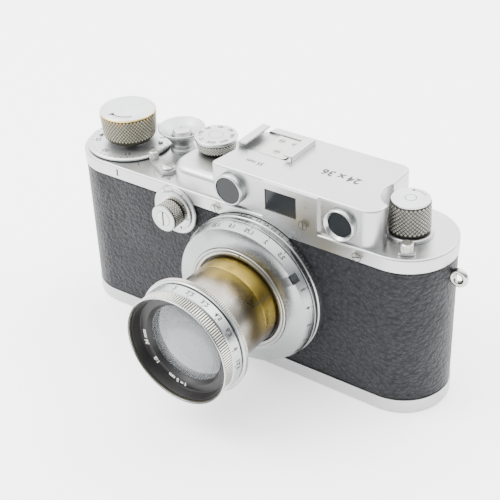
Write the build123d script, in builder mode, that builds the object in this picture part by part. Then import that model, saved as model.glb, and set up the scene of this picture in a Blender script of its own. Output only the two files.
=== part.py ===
"""Rangefinder camera of the 1930s with a collapsible 50 mm lens, in separate working pieces.

Millimetres. The origin is the centre of the base plate's underside. +Z is up, the lens points
along -Y, and +X is on the right of someone who faces the lens (the rewind side).
"""

from build123d import *
from math import cos, radians, sin
import os

# ---------------------------------------------------------------- body
BODY_LENGTH = 133.0
BODY_DEPTH = 30.0
END_RADIUS = BODY_DEPTH / 2
END_X = BODY_LENGTH / 2 - END_RADIUS
SHEET = 0.9
COVERING = 0.85
SLIP = 0.2
RUNNING = 0.05

LIP_TOP = 5.0
BAND_BOTTOM = 50.8
DECK_TOP = 55.2
DECK = 1.2
EDGE_ROUND = 0.6
SHELL_RADIUS = END_RADIUS - SHEET - SLIP
SHELL_BOTTOM = 1.3
SHELL_TOP = DECK_TOP - DECK - SLIP
COVERING_RADIUS = SHELL_RADIUS + COVERING

# ---------------------------------------------------------------- controls on the deck
WIND = (-51.25, 0.0)
RELEASE = (-34.0, 5.7)
DIAL = (-16.4, 1.0)
REWIND = (52.1, 0.0)
CLUTCH = (-28.5, -8.9)
CLUTCH_REST = 160.0
CLUTCH_REACH = 8.4
DIOPTRE_REST = -65.0
DIOPTRE_REACH = 10.9
SLOW_DIAL = (-21.2, 46.9)

# ---------------------------------------------------------------- finder housing
HOUSING_LEFT = -7.6
HOUSING_RIGHT = 49.3
HOUSING_REAR_RIGHT = 44.8
HOUSING_FRONT = -13.95
HOUSING_BACK = 14.6
HOUSING_TOP = 67.3
TOWER_LEFT = -24.6
TOWER_BACK = 10.5
TOWER_TOP = 61.8
HOUSING_WALL = 1.0
HOUSING_ROOF = 2.0
SCOOP = 8.1
WINDOW_Z = 60.8
LEFT_WINDOW_X = 0.2
RIGHT_WINDOW_X = 38.0
BEZEL_RADIUS = 5.05
FINDER_X = 18.1
FINDER_Z = 61.4
FINDER_WIDTH = 10.8
FINDER_HEIGHT = 7.0
PLATE_LEFT = 11.6
PLATE_RIGHT = 30.6
EYEPIECE_X = (18.1, 27.2)
EYEPIECE_RADIUS = 4.0
PLUG = (40.6, 62.0)
PLUG_RADIUS = 1.6

# ---------------------------------------------------------------- accessory shoe
SHOE_LEFT = -6.1
SHOE_RIGHT = 13.5
SHOE_FRONT = -1.8
SHOE_BACK = 11.2
SHOE_SHEET = 0.5
SHOE_SLOT = 2.0
SHOE_LIP = 3.0
SHOE_FLOOR = 66.2
SPRING_LEFT = 1.0
SPRING_RIGHT = 10.4
SHOE_SCREWS = ((5.7, 1.8), (3.3, 8.2), (8.1, 8.2))

# ---------------------------------------------------------------- lens and film
LENS_X = 8.25
LENS_Z = 29.7
MOUNT_RADIUS = 24.4
MOUNT_FACE = 17.3
THREAD_RADIUS = 19.5
GATE_WIDTH = 36.0
GATE_HEIGHT = 24.0
FILM_PLANE = 11.5
FOCUS_FRONT = 22.8
CARRIER_FRONT = 24.7
TUBE_RADIUS = 14.45
HEAD_BACK = 45.0
HEAD_RADIUS = 18.87
STOP_RING_RADIUS = 17.7
STOP_RING_BACK = 51.0
STOP_RING_FRONT = 55.0
GLASS_RADIUS = 12.55
LEVER_ANGLE = 225.0
BLADES = 6
BLADE_PIVOT = 12.2
BLADE_SPAN = 115

# ---------------------------------------------------------------- winding gear
GEAR_LOW = 51.6
GEAR_HIGH = 53.0
WIND_GEAR = 11.0
WIND_TEETH = 44
SPROCKET_GEAR = 7.0
SPROCKET_TEETH = 28
TOOTH = 0.8
FILM_ROWS = 28.2
DRUM_RADIUS = 7.5
ROLLER = (34.0, 3.5)

# ---------------------------------------------------------------- base plate
TRIPOD_X = -51.25
KEY_X = 51.5
KEY_RADIUS = 8.5
FOLD_HEIGHT = 0.45  # of the axis on which the key's handle folds out
FOLD_RADIUS = 0.3
TRIPOD_BORE = 2.55

SCREW_HEAD = 1.3
SCREW_DEPTH = 0.45

UP = (0, 0, 1)
FORWARD = (0, -1, 0)


def save(builder, label):
    """Label a finished piece and write its STEP file."""
    builder.part.label = label
    export_step(builder.part, f"parts/{label}.step")


def turn_up(points, centre, mode=Mode.ADD):
    """Revolve a closed (radius, height) outline about a vertical axis through centre."""
    plane = Plane(origin=(centre[0], centre[1], 0), x_dir=(1, 0, 0), z_dir=FORWARD)
    with BuildSketch(plane) as profile:
        with BuildLine():
            Polyline(*points, close=True)
        make_face()
    revolve(profile.sketch, axis=Axis((centre[0], centre[1], 0), UP), mode=mode)


def turn_forward(points, centre=(LENS_X, LENS_Z), mode=Mode.ADD):
    """Revolve a closed (forward distance, radius) outline about an axis that points to the front."""
    plane = Plane(origin=(centre[0], 0, centre[1]), x_dir=FORWARD, z_dir=UP)
    with BuildSketch(plane) as profile:
        with BuildLine():
            Polyline(*points, close=True)
        make_face()
    revolve(profile.sketch, axis=Axis((centre[0], 0, centre[1]), FORWARD), mode=mode)


def tube_points(outer, inner, back, front):
    """Outline of a plain ring, for turn_forward."""
    return [(back, inner), (back, outer), (front, outer), (front, inner)]


def stadium(radius, low, high, mode=Mode.ADD):
    """Round-ended slab with the body's end centres."""
    with BuildSketch(Plane.XY.offset(low)) as outline:
        SlotCenterToCenter(2 * END_X, 2 * radius)
    extrude(outline.sketch, amount=high - low, mode=mode)


def drill_forward(centre, radius, back, front, mode=Mode.SUBTRACT):
    """Round hole or pin along Y between two distances in front of the middle plane."""
    plane = Plane(origin=(centre[0], -back, centre[1]), x_dir=(1, 0, 0), z_dir=FORWARD)
    with BuildSketch(plane) as outline:
        Circle(radius)
    extrude(outline.sketch, amount=front - back, mode=mode)


def drill_up(centre, radius, low, high, mode=Mode.SUBTRACT):
    """Round hole or pin along Z between two heights."""
    with BuildSketch(Plane(origin=(centre[0], centre[1], low))) as outline:
        Circle(radius)
    extrude(outline.sketch, amount=high - low, mode=mode)


def block(x_range, y_range, z_range, mode=Mode.ADD):
    """Square block between two corners."""
    middle = Plane(origin=(sum(x_range) / 2, sum(y_range) / 2, z_range[0]))
    with BuildSketch(middle) as outline:
        Rectangle(x_range[1] - x_range[0], y_range[1] - y_range[0])
    extrude(outline.sketch, amount=z_range[1] - z_range[0], mode=mode)


def polar(centre, reach, angle):
    """Point at a distance and an angle in degrees from a centre."""
    return (centre[0] + reach * cos(radians(angle)), centre[1] + reach * sin(radians(angle)))


def gear_teeth(centre, radius, count):
    """Cut the gaps between the teeth of a small gear."""
    with BuildSketch(Plane(origin=(centre[0], centre[1], GEAR_LOW))) as gaps:
        with PolarLocations(radius - TOOTH / 2, count):
            Trapezoid(TOOTH, TOOTH, 75, rotation=-90)
    extrude(gaps.sketch, amount=GEAR_HIGH - GEAR_LOW, mode=Mode.SUBTRACT)


os.makedirs("parts", exist_ok=True)

# ================================================================ fixed body
with BuildPart() as body_shell:
    stadium(SHELL_RADIUS, SHELL_BOTTOM, SHELL_TOP)
    stadium(SHELL_RADIUS - SHEET, SHELL_BOTTOM, SHELL_TOP, Mode.SUBTRACT)
    drill_forward((LENS_X, LENS_Z), THREAD_RADIUS + SLIP, SHELL_RADIUS - 2, END_RADIUS)
    drill_forward(SLOW_DIAL, 1.6, SHELL_RADIUS - 2, END_RADIUS)
save(body_shell, "body_shell")

with BuildPart() as body_covering:
    stadium(COVERING_RADIUS, LIP_TOP + SLIP, BAND_BOTTOM - 0.15)
    stadium(SHELL_RADIUS, LIP_TOP + SLIP, BAND_BOTTOM - 0.15, Mode.SUBTRACT)
    drill_forward((LENS_X, LENS_Z), MOUNT_RADIUS + 0.15, SHELL_RADIUS - 2, END_RADIUS)
    drill_forward(SLOW_DIAL, 3.9, SHELL_RADIUS - 2, END_RADIUS)
save(body_covering, "body_covering")

FRONT_SCREWS = [(-5.0, 53.1), (44.4, 53.1), (26.6, 57.6)]
BACK_SCREWS = [(-38.0, 53.1), (-8.0, 53.1), (22.0, 53.1), (44.4, 53.1)]
WINDOW_BLOCK = (FINDER_X - FINDER_WIDTH / 2, FINDER_X + FINDER_WIDTH / 2)
WINDOW_HEIGHTS = (FINDER_Z - FINDER_HEIGHT / 2, FINDER_Z + FINDER_HEIGHT / 2)

with BuildPart() as top_plate:
    stadium(END_RADIUS, BAND_BOTTOM, DECK_TOP)
    fillet(top_plate.edges().group_by(Axis.Z)[-1], EDGE_ROUND)
    stadium(END_RADIUS - SHEET, BAND_BOTTOM, DECK_TOP - DECK, Mode.SUBTRACT)
    block((PLATE_LEFT, PLATE_RIGHT), (-END_RADIUS, HOUSING_FRONT), (DECK_TOP - DECK, HOUSING_TOP - 0.3))
    block(WINDOW_BLOCK, (-END_RADIUS, HOUSING_FRONT), WINDOW_HEIGHTS, Mode.SUBTRACT)
    drill_forward((LENS_X, LENS_Z), MOUNT_RADIUS + 0.25, SHELL_RADIUS - RUNNING, END_RADIUS + 1)
    for point in FRONT_SCREWS:
        drill_forward(point, SCREW_HEAD + RUNNING, END_RADIUS - SCREW_DEPTH, END_RADIUS + 1)
    for point in BACK_SCREWS:
        drill_forward(point, SCREW_HEAD + RUNNING, -END_RADIUS - 1, SCREW_DEPTH - END_RADIUS)
    for centre in (WIND, DIAL, REWIND):
        drill_up(centre, 2.0 + RUNNING, DECK_TOP - DECK, DECK_TOP)
    drill_up(RELEASE, 1.65, DECK_TOP - DECK, DECK_TOP)
    drill_up(CLUTCH, 1.25, DECK_TOP - 0.8, DECK_TOP)
    block((4, 14), (-12.5, -7.5), (DECK_TOP - DECK, DECK_TOP), Mode.SUBTRACT)
save(top_plate, "top_plate")

with BuildPart() as cover_screws:
    for point in FRONT_SCREWS:
        drill_forward(point, SCREW_HEAD, END_RADIUS - SCREW_DEPTH, END_RADIUS + 0.05, Mode.ADD)
        slot = ((point[0] - SCREW_HEAD, point[0] + SCREW_HEAD), (point[1] - 0.15, point[1] + 0.15))
        block(slot[0], (-END_RADIUS - 1, -END_RADIUS + 0.2), slot[1], Mode.SUBTRACT)
    for point in BACK_SCREWS:
        drill_forward(point, SCREW_HEAD, -END_RADIUS - 0.05, SCREW_DEPTH - END_RADIUS, Mode.ADD)
        slot = ((point[0] - SCREW_HEAD, point[0] + SCREW_HEAD), (point[1] - 0.15, point[1] + 0.15))
        block(slot[0], (END_RADIUS - 0.2, END_RADIUS + 1), slot[1], Mode.SUBTRACT)
    for point in SHOE_SCREWS:
        low = SHOE_FLOOR + SHOE_SHEET - 0.3
        drill_up(point, 1.15, low, low + 0.75, Mode.ADD)
        slot = ((point[0] - 1.2, point[0] + 1.2), (point[1] - 0.15, point[1] + 0.15))
        block(slot[0], slot[1], (low + 0.5, low + 1), Mode.SUBTRACT)
save(cover_screws, "cover_screws")


def housing_outline(inset):
    """Plan of the finder housing's tall part, drawn in by an even inset."""
    with BuildSketch(Plane.XY.offset(DECK_TOP)) as outline:
        with BuildLine():
            Polyline(
                (HOUSING_LEFT, HOUSING_FRONT),
                (HOUSING_RIGHT, HOUSING_FRONT),
                (HOUSING_RIGHT, 0),
                (HOUSING_REAR_RIGHT, 0),
                (HOUSING_REAR_RIGHT, HOUSING_BACK),
                (HOUSING_LEFT + 4.5, HOUSING_BACK),
                close=True,
            )
        make_face()
        with Locations(REWIND):
            Circle(SCOOP, mode=Mode.SUBTRACT)
        corners = outline.vertices().sort_by(Axis.X)
        fillet(corners.filter_by(lambda v: v.X > 49 and v.Y < -10), 4.6)
        fillet(outline.vertices().filter_by(lambda v: v.X > 44 and v.Y > 14), 3.0)
        fillet(outline.vertices().filter_by(lambda v: v.X < 0), 1.4)
        fillet(outline.vertices().filter_by(lambda v: v.X > 49 and v.Y > -9), 0.5)
        if inset:
            offset(amount=-inset, kind=Kind.INTERSECTION, mode=Mode.REPLACE)
    return outline.sketch


def tower_outline(inset):
    """Plan of the low part that carries the speed dial."""
    width = 1.0 - TOWER_LEFT - inset
    depth = TOWER_BACK - HOUSING_FRONT - 2 * inset
    middle = (TOWER_LEFT + inset + width / 2, (TOWER_BACK + HOUSING_FRONT) / 2, DECK_TOP)
    with BuildSketch(Plane(origin=middle)) as outline:
        Rectangle(width, depth)
        fillet(outline.vertices().group_by(Axis.X)[0], 6.5 - inset)
    return outline.sketch


with BuildPart() as finder_housing:
    extrude(tower_outline(0), amount=TOWER_TOP - DECK_TOP)
    crown = finder_housing.edges().group_by(Axis.Z)[-1]
    fillet(crown.filter_by(lambda e: e.center().X < 0.9), 2.6)
    extrude(housing_outline(0), amount=HOUSING_TOP - DECK_TOP)
    fillet(finder_housing.edges().group_by(Axis.Z)[-1], 0.7)
    extrude(tower_outline(HOUSING_WALL + 0.4), amount=TOWER_TOP - DECK_TOP - HOUSING_WALL, mode=Mode.SUBTRACT)
    extrude(housing_outline(HOUSING_WALL), amount=HOUSING_TOP - DECK_TOP - HOUSING_ROOF, mode=Mode.SUBTRACT)
    for x in (LEFT_WINDOW_X, RIGHT_WINDOW_X):
        drill_forward((x, WINDOW_Z), BEZEL_RADIUS + RUNNING, 12, 15)
    block(
        (WINDOW_BLOCK[0] + 0.5, WINDOW_BLOCK[1] - 0.5),
        (-END_RADIUS, -12),
        (WINDOW_HEIGHTS[0] + 0.5, WINDOW_HEIGHTS[1] - 0.5),
        Mode.SUBTRACT,
    )
    for x in EYEPIECE_X:
        drill_forward((x, WINDOW_Z), 3.2, -HOUSING_BACK - 1, -12)
    drill_up(DIAL, 2.1, TOWER_TOP - 2, TOWER_TOP)
    block(
        (SHOE_LEFT - RUNNING, SHOE_RIGHT + RUNNING),
        (SHOE_FRONT - RUNNING, SHOE_BACK + RUNNING),
        (SHOE_FLOOR, HOUSING_TOP),
        Mode.SUBTRACT,
    )
    drill_forward(PLUG, PLUG_RADIUS, -HOUSING_BACK - 1, 1.2 - HOUSING_BACK)
save(finder_housing, "finder_housing")

with BuildPart() as window_bezels:
    turn_forward(
        [(12.95, 3.6), (12.95, BEZEL_RADIUS), (16.1, BEZEL_RADIUS), (16.3, 4.85), (16.3, 4.25),
         (15.2, 4.25), (15.2, 3.6)],
        (LEFT_WINDOW_X, WINDOW_Z),
    )
    turn_forward(
        [(12.95, 3.2), (12.95, BEZEL_RADIUS), (15.7, BEZEL_RADIUS), (15.9, 4.85), (15.9, 4.6),
         (14.9, 3.75), (14.1, 3.75), (14.1, 3.2)],
        (RIGHT_WINDOW_X, WINDOW_Z),
    )
save(window_bezels, "window_bezels")

with BuildPart() as window_glasses:
    drill_forward((LEFT_WINDOW_X, WINDOW_Z), 4.2, 15.2, 16.0, Mode.ADD)
    drill_forward((RIGHT_WINDOW_X, WINDOW_Z), 3.7, 14.1, 14.8, Mode.ADD)
    for x in EYEPIECE_X:
        drill_forward((x, WINDOW_Z), 2.4, -15.1, -14.0, Mode.ADD)
save(window_glasses, "window_glasses")

with BuildPart() as viewfinder_glass:
    block(
        (WINDOW_BLOCK[0] + 0.05, WINDOW_BLOCK[1] - 0.05),
        (-14.7, HOUSING_FRONT),
        (WINDOW_HEIGHTS[0] + 0.05, WINDOW_HEIGHTS[1] - 0.05),
    )
save(viewfinder_glass, "viewfinder_glass")

with BuildPart() as eyepieces:
    for x in EYEPIECE_X:
        turn_forward(
            [(-13.6, 2.4), (-13.6, 3.15), (-HOUSING_BACK, 3.15), (-HOUSING_BACK, EYEPIECE_RADIUS),
             (-15.9, EYEPIECE_RADIUS), (-16.3, 3.6), (-16.3, 3.0), (-15.2, 2.4)],
            (x, WINDOW_Z),
        )
save(eyepieces, "eyepieces")

# ---------------------------------------------------------------- accessory shoe
SHOE_TOP = SHOE_FLOOR + 2 * SHOE_SHEET + SHOE_SLOT

with BuildPart() as accessory_shoe:
    with BuildSketch(Plane(origin=(0, SHOE_BACK, 0), x_dir=(1, 0, 0), z_dir=FORWARD)):
        with BuildLine():
            Polyline(
                (SHOE_LEFT, SHOE_FLOOR),
                (SHOE_RIGHT, SHOE_FLOOR),
                (SHOE_RIGHT, SHOE_TOP),
                (SHOE_RIGHT - SHOE_LIP, SHOE_TOP),
                (SHOE_RIGHT - SHOE_LIP, SHOE_TOP - SHOE_SHEET),
                (SHOE_RIGHT - SHOE_SHEET, SHOE_TOP - SHOE_SHEET),
                (SHOE_RIGHT - SHOE_SHEET, SHOE_FLOOR + SHOE_SHEET),
                (SHOE_LEFT + SHOE_SHEET, SHOE_FLOOR + SHOE_SHEET),
                (SHOE_LEFT + SHOE_SHEET, SHOE_TOP - SHOE_SHEET),
                (SHOE_LEFT + SHOE_LIP, SHOE_TOP - SHOE_SHEET),
                (SHOE_LEFT + SHOE_LIP, SHOE_TOP),
                (SHOE_LEFT, SHOE_TOP),
                close=True,
            )
        make_face()
    extrude(amount=SHOE_BACK - SHOE_FRONT)
    folds = accessory_shoe.edges().filter_by(Axis.Y).group_by(Axis.Z)[-1].sort_by(Axis.X)
    fillet([folds[0], folds[-1]], 0.4)
    corners = accessory_shoe.edges().filter_by(Axis.Z).group_by(Axis.Y)[0].sort_by(Axis.X)
    fillet(corners[-1], 0.2)
    for point in SHOE_SCREWS:
        drill_up(point, 1.2, SHOE_FLOOR, SHOE_FLOOR + SHOE_SHEET)
save(accessory_shoe, "accessory_shoe")

with BuildPart() as shoe_spring:
    low = SHOE_FLOOR + SHOE_SHEET
    block((SPRING_LEFT, SPRING_RIGHT), (SHOE_FRONT + 0.5, SHOE_BACK - 0.6), (low, low + 0.4))
    fillet(shoe_spring.edges().filter_by(Axis.Z).group_by(Axis.Y)[0], 1.5)
    for point in SHOE_SCREWS:
        drill_up(point, 1.2, low, low + 0.4)
save(shoe_spring, "shoe_spring")

with BuildPart() as adjuster_plug:
    drill_forward(PLUG, PLUG_RADIUS - RUNNING, 0.3 - HOUSING_BACK, 1.2 - HOUSING_BACK, Mode.ADD)
    slot = ((PLUG[0] - 2, PLUG[0] + 2), (PLUG[1] - 0.25, PLUG[1] + 0.25))
    block(slot[0], (HOUSING_BACK - 0.7, HOUSING_BACK), slot[1], Mode.SUBTRACT)
save(adjuster_plug, "adjuster_plug")

# ---------------------------------------------------------------- strap lugs
LUG_X = 68.3
LUG_Z = 45.5
LUG_RING = 2.1
LUG_WIRE = 0.95

with BuildPart() as strap_lugs:
    for side in (-1, 1):
        centre = (side * END_X, 0)
        drill_up(centre, COVERING_RADIUS + 0.9, LUG_Z - 5, LUG_Z + 4.5, Mode.ADD)
    with BuildSketch(Plane.YZ.offset(-BODY_LENGTH)) as shield:
        with Locations((0, LUG_Z)):
            Circle(3.5)
        with Locations((0, LUG_Z + 2.4)):
            Rectangle(2.6, 4.2)
    extrude(shield.sketch, amount=2 * BODY_LENGTH, mode=Mode.INTERSECT)
    stadium(COVERING_RADIUS + 0.02, LUG_Z - 6, LUG_Z + 5, Mode.SUBTRACT)
    for side in (-1, 1):
        with Locations(Location((side * LUG_X, 0, LUG_Z), (90, 0, 0))):
            Torus(LUG_RING, LUG_WIRE)
    stadium(COVERING_RADIUS + 0.02, LUG_Z - 6, LUG_Z + 5, Mode.SUBTRACT)
save(strap_lugs, "strap_lugs")

# ================================================================ inside the body
CRATE_X = (-26.5, 38.6)
CRATE_Y = (-12.8, FILM_PLANE - 0.2)
CRATE_Z = (5.6, 51.0)
CRATE_WALL = 1.2

with BuildPart() as shutter_crate:
    block(CRATE_X, CRATE_Y, CRATE_Z)
    block(
        (CRATE_X[0] + CRATE_WALL, CRATE_X[1] - CRATE_WALL),
        (CRATE_Y[0] + CRATE_WALL, CRATE_Y[1] - CRATE_WALL),
        (CRATE_Z[0] + CRATE_WALL, CRATE_Z[1] - CRATE_WALL),
        Mode.SUBTRACT,
    )
    drill_forward((LENS_X, LENS_Z), 20.0, 11, 14)
    block(
        (LENS_X - GATE_WIDTH / 2, LENS_X + GATE_WIDTH / 2),
        (CRATE_Y[1] - CRATE_WALL, CRATE_Y[1]),
        (LENS_Z - GATE_HEIGHT / 2, LENS_Z + GATE_HEIGHT / 2),
        Mode.SUBTRACT,
    )
    drill_up(DIAL, 1.95, CRATE_Z[0], CRATE_Z[1])
    drill_up(ROLLER, 1.25, CRATE_Z[0], CRATE_Z[1])
    block((6, 12), (CRATE_Y[0], -8), (LENS_Z + 16, CRATE_Z[1]), Mode.SUBTRACT)
save(shutter_crate, "shutter_crate")

with BuildPart() as pressure_plate:
    block((LENS_X - 22, LENS_X + 22), (FILM_PLANE + 0.15, FILM_PLANE + 0.85), (LENS_Z - 16, LENS_Z + 16))
    pressed = pressure_plate.edges().filter_by(Axis.Y)
    fillet(pressed, 3.0)
save(pressure_plate, "pressure_plate")

with BuildPart() as shutter_curtains:
    block((LENS_X - 24.5, LENS_X + 24), (8.65, 8.85), (LENS_Z - 14.5, LENS_Z + 14.5))
    block((LENS_X + 17, LENS_X + 18.2), (8.85, 9.25), (LENS_Z - 14.5, LENS_Z + 14.5))
save(shutter_curtains, "shutter_curtains")

with BuildPart() as rangefinder_block:
    block((-5, 43), (-4.2, 4.2), (DECK_TOP, DECK_TOP + 1))
    for x in (LEFT_WINDOW_X, RIGHT_WINDOW_X):
        block((x - 3.4, x + 3.4), (-4.0, 4.0), (DECK_TOP + 1, WINDOW_Z + 3.2))
    block((FINDER_X - 4.4, FINDER_X + 4.4), (-3.0, 3.0), (DECK_TOP + 1, WINDOW_Z + 2.8))
    for x in (LEFT_WINDOW_X, RIGHT_WINDOW_X, FINDER_X):
        drill_forward((x, WINDOW_Z), 2.4, -4.5, 4.5)
save(rangefinder_block, "rangefinder_block")

with BuildPart() as rangefinder_arm:
    block((9.2, 10.4), (-10.7, -9.3), (45.6, 53.4))
    plane = Plane(origin=(7.6, -10.0, 52.2), x_dir=(0, 1, 0), z_dir=(1, 0, 0))
    with BuildSketch(plane) as pivot_pin:
        Circle(0.9)
    extrude(pivot_pin.sketch, amount=4.4)
    plane = Plane(origin=(7.4, -10.4, 45.8), x_dir=(0, 1, 0), z_dir=(1, 0, 0))
    with BuildSketch(plane) as roller:
        Circle(0.9)
    extrude(roller.sketch, amount=3.0)
save(rangefinder_arm, "rangefinder_arm")

# ================================================================ winding side
with BuildPart() as wind_knob:
    turn_up(
        [(2.0, 57.6), (7.4, 57.6), (7.4, 58.5), (8.45, 58.85), (9.1, 67.1), (8.75, 67.7), (0, 67.7),
         (0, 66.4), (2.0, 66.4)],
        WIND,
    )
save(wind_knob, "wind_knob")

with BuildPart() as wind_shaft:
    turn_up([(0, 6.4), (2.0, 6.4), (2.0, 66.4), (0, 66.4)], WIND)
    turn_up([(2.0, GEAR_LOW), (WIND_GEAR, GEAR_LOW), (WIND_GEAR, GEAR_HIGH), (2.0, GEAR_HIGH)], WIND)
    gear_teeth(WIND, WIND_GEAR, WIND_TEETH)
save(wind_shaft, "wind_shaft")

with BuildPart() as take_up_spool:
    turn_up(
        [(2.0, 6.8), (10.6, 6.8), (10.6, 7.8), (5.4, 8.6), (5.4, 46.4), (10.6, 47.2), (10.6, 48.2),
         (2.0, 48.2)],
        WIND,
    )
    block((WIND[0] + 4.2, WIND[0] + 6), (-0.5, 0.5), (14, 40), Mode.SUBTRACT)
save(take_up_spool, "take_up_spool")

with BuildPart() as counter_dial:
    turn_up([(2.3, 55.5), (13.7, 55.5), (13.95, 55.8), (13.6, 56.5), (2.3, 56.5)], WIND)
    for angle in (16, 196):
        drill_up(polar(WIND, 10.7, angle), 0.8, 56.5, 57.2, Mode.ADD)
save(counter_dial, "counter_dial")

SPROCKET_LEVELS = (LENS_Z - FILM_ROWS / 2, LENS_Z + FILM_ROWS / 2)

with BuildPart() as film_sprocket:
    turn_up(
        [(0, 6.0), (2.0, 6.0), (2.0, 50.8), (3.0, 50.8), (3.0, GEAR_LOW), (SPROCKET_GEAR, GEAR_LOW),
         (SPROCKET_GEAR, GEAR_HIGH), (1.8, GEAR_HIGH), (1.8, 51.0), (0, 51.0)],
        RELEASE,
    )
    gear_teeth(RELEASE, SPROCKET_GEAR, SPROCKET_TEETH)
    for level in SPROCKET_LEVELS:
        drill_up(RELEASE, 6.05, level - 1.6, level + 1.6, Mode.ADD)
        with BuildSketch(Plane(origin=(RELEASE[0], RELEASE[1], level - 0.6))) as teeth:
            with PolarLocations(6.2, 8):
                Rectangle(1.2, 1.5)
        extrude(teeth.sketch, amount=1.2)
save(film_sprocket, "film_sprocket")

with BuildPart() as shutter_drum:
    turn_up(
        [(0, 6.0), (1.9, 6.0), (1.9, 12), (DRUM_RADIUS, 12), (DRUM_RADIUS, 47), (1.9, 47), (1.9, GEAR_LOW),
         (WIND_GEAR, GEAR_LOW), (WIND_GEAR, GEAR_HIGH), (1.9, GEAR_HIGH), (1.9, 65.8), (0, 65.8)],
        DIAL,
    )
    gear_teeth(DIAL, WIND_GEAR, WIND_TEETH)
save(shutter_drum, "shutter_drum")

with BuildPart() as curtain_roller:
    turn_up(
        [(0, 5.9), (1.2, 5.9), (1.2, 12), (3.0, 12), (3.0, 47), (1.2, 47), (1.2, 50.7), (0, 50.7)],
        ROLLER,
    )
save(curtain_roller, "curtain_roller")

with BuildPart() as release_collar:
    turn_up(
        [(1.65, DECK_TOP), (4.0, DECK_TOP), (4.0, 55.9), (3.7, 56.4), (3.7, 58.2), (7.6, 62.7), (7.6, 63.0),
         (7.2, 63.0), (4.4, 60.9), (3.15, 60.4), (3.15, 57.3), (1.65, 57.3)],
        RELEASE,
    )
save(release_collar, "release_collar")

with BuildPart() as release_button:
    turn_up(
        [(0, 53.4), (1.5, 53.4), (1.5, 59.6), (3.05, 59.6), (3.05, 61.6), (2.6, 62.1), (1.4, 62.4),
         (0, 62.5)],
        RELEASE,
    )
save(release_button, "release_button")

with BuildPart() as dial_bush:
    turn_up([(1.95, 62.1), (2.6, 62.1), (2.6, 65.8), (1.95, 65.8)], DIAL)
save(dial_bush, "dial_bush")

with BuildPart() as speed_dial:
    turn_up(
        [(2.65, 61.95), (5.2, 61.95), (5.4, 62.2), (5.4, 65.8), (6.74, 65.9), (6.74, 66.9), (6.5, 67.1),
         (0, 67.1), (0, 66.0), (2.65, 66.0)],
        DIAL,
    )
save(speed_dial, "speed_dial")

with BuildPart() as clutch_lever:
    post = polar(CLUTCH, CLUTCH_REACH, CLUTCH_REST)
    with BuildSketch(Plane.XY.offset(DECK_TOP + 0.1)) as blade:
        with Locations(CLUTCH):
            Circle(2.7)
        with Locations(post):
            Circle(1.6)
        make_hull()
        with Locations(CLUTCH):
            Circle(1.25 + RUNNING, mode=Mode.SUBTRACT)
    extrude(blade.sketch, amount=1.3)
    drill_up(post, 1.5, DECK_TOP + 1.4, 59.0, Mode.ADD)
    chamfer(clutch_lever.edges().group_by(Axis.Z)[-1], 0.25)
save(clutch_lever, "clutch_lever")

with BuildPart() as clutch_screw:
    turn_up(
        [(0, DECK_TOP - 0.8), (1.25, DECK_TOP - 0.8), (1.25, 56.65), (2.0, 56.65), (2.0, 57.1), (1.7, 57.4),
         (0, 57.4)],
        CLUTCH,
    )
    block((CLUTCH[0] - 2, CLUTCH[0] + 2), (CLUTCH[1] - 0.2, CLUTCH[1] + 0.2), (57.1, 58), Mode.SUBTRACT)
save(clutch_screw, "clutch_screw")

with BuildPart() as slow_dial_plate:
    turn_forward(
        [(SHELL_RADIUS, 1.55), (SHELL_RADIUS, 3.8), (END_RADIUS + RUNNING, 3.8),
         (END_RADIUS + RUNNING, 8.15),
         (15.7, 8.15), (15.9, 7.9), (15.9, 1.55)],
        SLOW_DIAL,
    )
save(slow_dial_plate, "slow_dial_plate")

with BuildPart() as slow_speed_dial:
    turn_forward(
        [(13.1, 0), (13.1, 1.5), (16.0, 1.5), (16.0, 6.7), (16.4, 6.6), (16.6, 4.4), (21.3, 4.55),
         (21.6, 4.3), (21.6, 2.5), (21.1, 2.5), (21.1, 0)],
        SLOW_DIAL,
    )
save(slow_speed_dial, "slow_speed_dial")

with BuildPart() as slow_dial_screw:
    drill_forward(SLOW_DIAL, 2.4, 21.1, 21.65, Mode.ADD)
    head = ((SLOW_DIAL[0] - 0.3, SLOW_DIAL[0] + 0.3), (SLOW_DIAL[1] - 3, SLOW_DIAL[1] + 3))
    block(head[0], (-22, -21.35), head[1], Mode.SUBTRACT)
save(slow_dial_screw, "slow_dial_screw")

# ================================================================ rewind side
with BuildPart() as rewind_shaft:
    turn_up(
        [(0, 46), (2.0, 46), (2.0, 52.4), (3.2, 52.4), (3.2, 53.7), (2.0, 53.7), (2.0, 66.0), (0, 66.0)],
        REWIND,
    )
    block((REWIND[0] - 0.6, REWIND[0] + 0.6), (-2.6, 2.6), (42.6, 46.6))
save(rewind_shaft, "rewind_shaft")

with BuildPart() as rewind_knob:
    turn_up(
        [(2.05, 56.9), (5.9, 56.9), (6.19, 57.2), (5.75, 66.1), (5.3, 66.8), (0, 66.8), (0, 66.1),
         (2.05, 66.1)],
        REWIND,
    )
save(rewind_knob, "rewind_knob")

with BuildPart() as dioptre_lever:
    turn_up([(2.1, DECK_TOP + 0.1), (7.0, DECK_TOP + 0.1), (7.0, 56.3), (6.7, 56.6), (2.1, 56.6)], REWIND)
    handle = polar(REWIND, DIOPTRE_REACH, DIOPTRE_REST)
    tab = Plane(origin=(REWIND[0], REWIND[1], DECK_TOP + 0.1))
    with BuildSketch(tab) as arm:
        with Locations(Location((0, 0, 0), (0, 0, DIOPTRE_REST))):
            with Locations((8.8, 0)):
                Rectangle(7.4, 5.0)
        fillet(arm.vertices().sort_by(Axis.Y)[:2], 1.2)
    extrude(arm.sketch, amount=0.8)
    drill_up(handle, 1.75, DECK_TOP + 0.9, 58.6, Mode.ADD)
    chamfer(dioptre_lever.edges().group_by(Axis.Z)[-1], 0.25)
save(dioptre_lever, "dioptre_lever")

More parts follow.
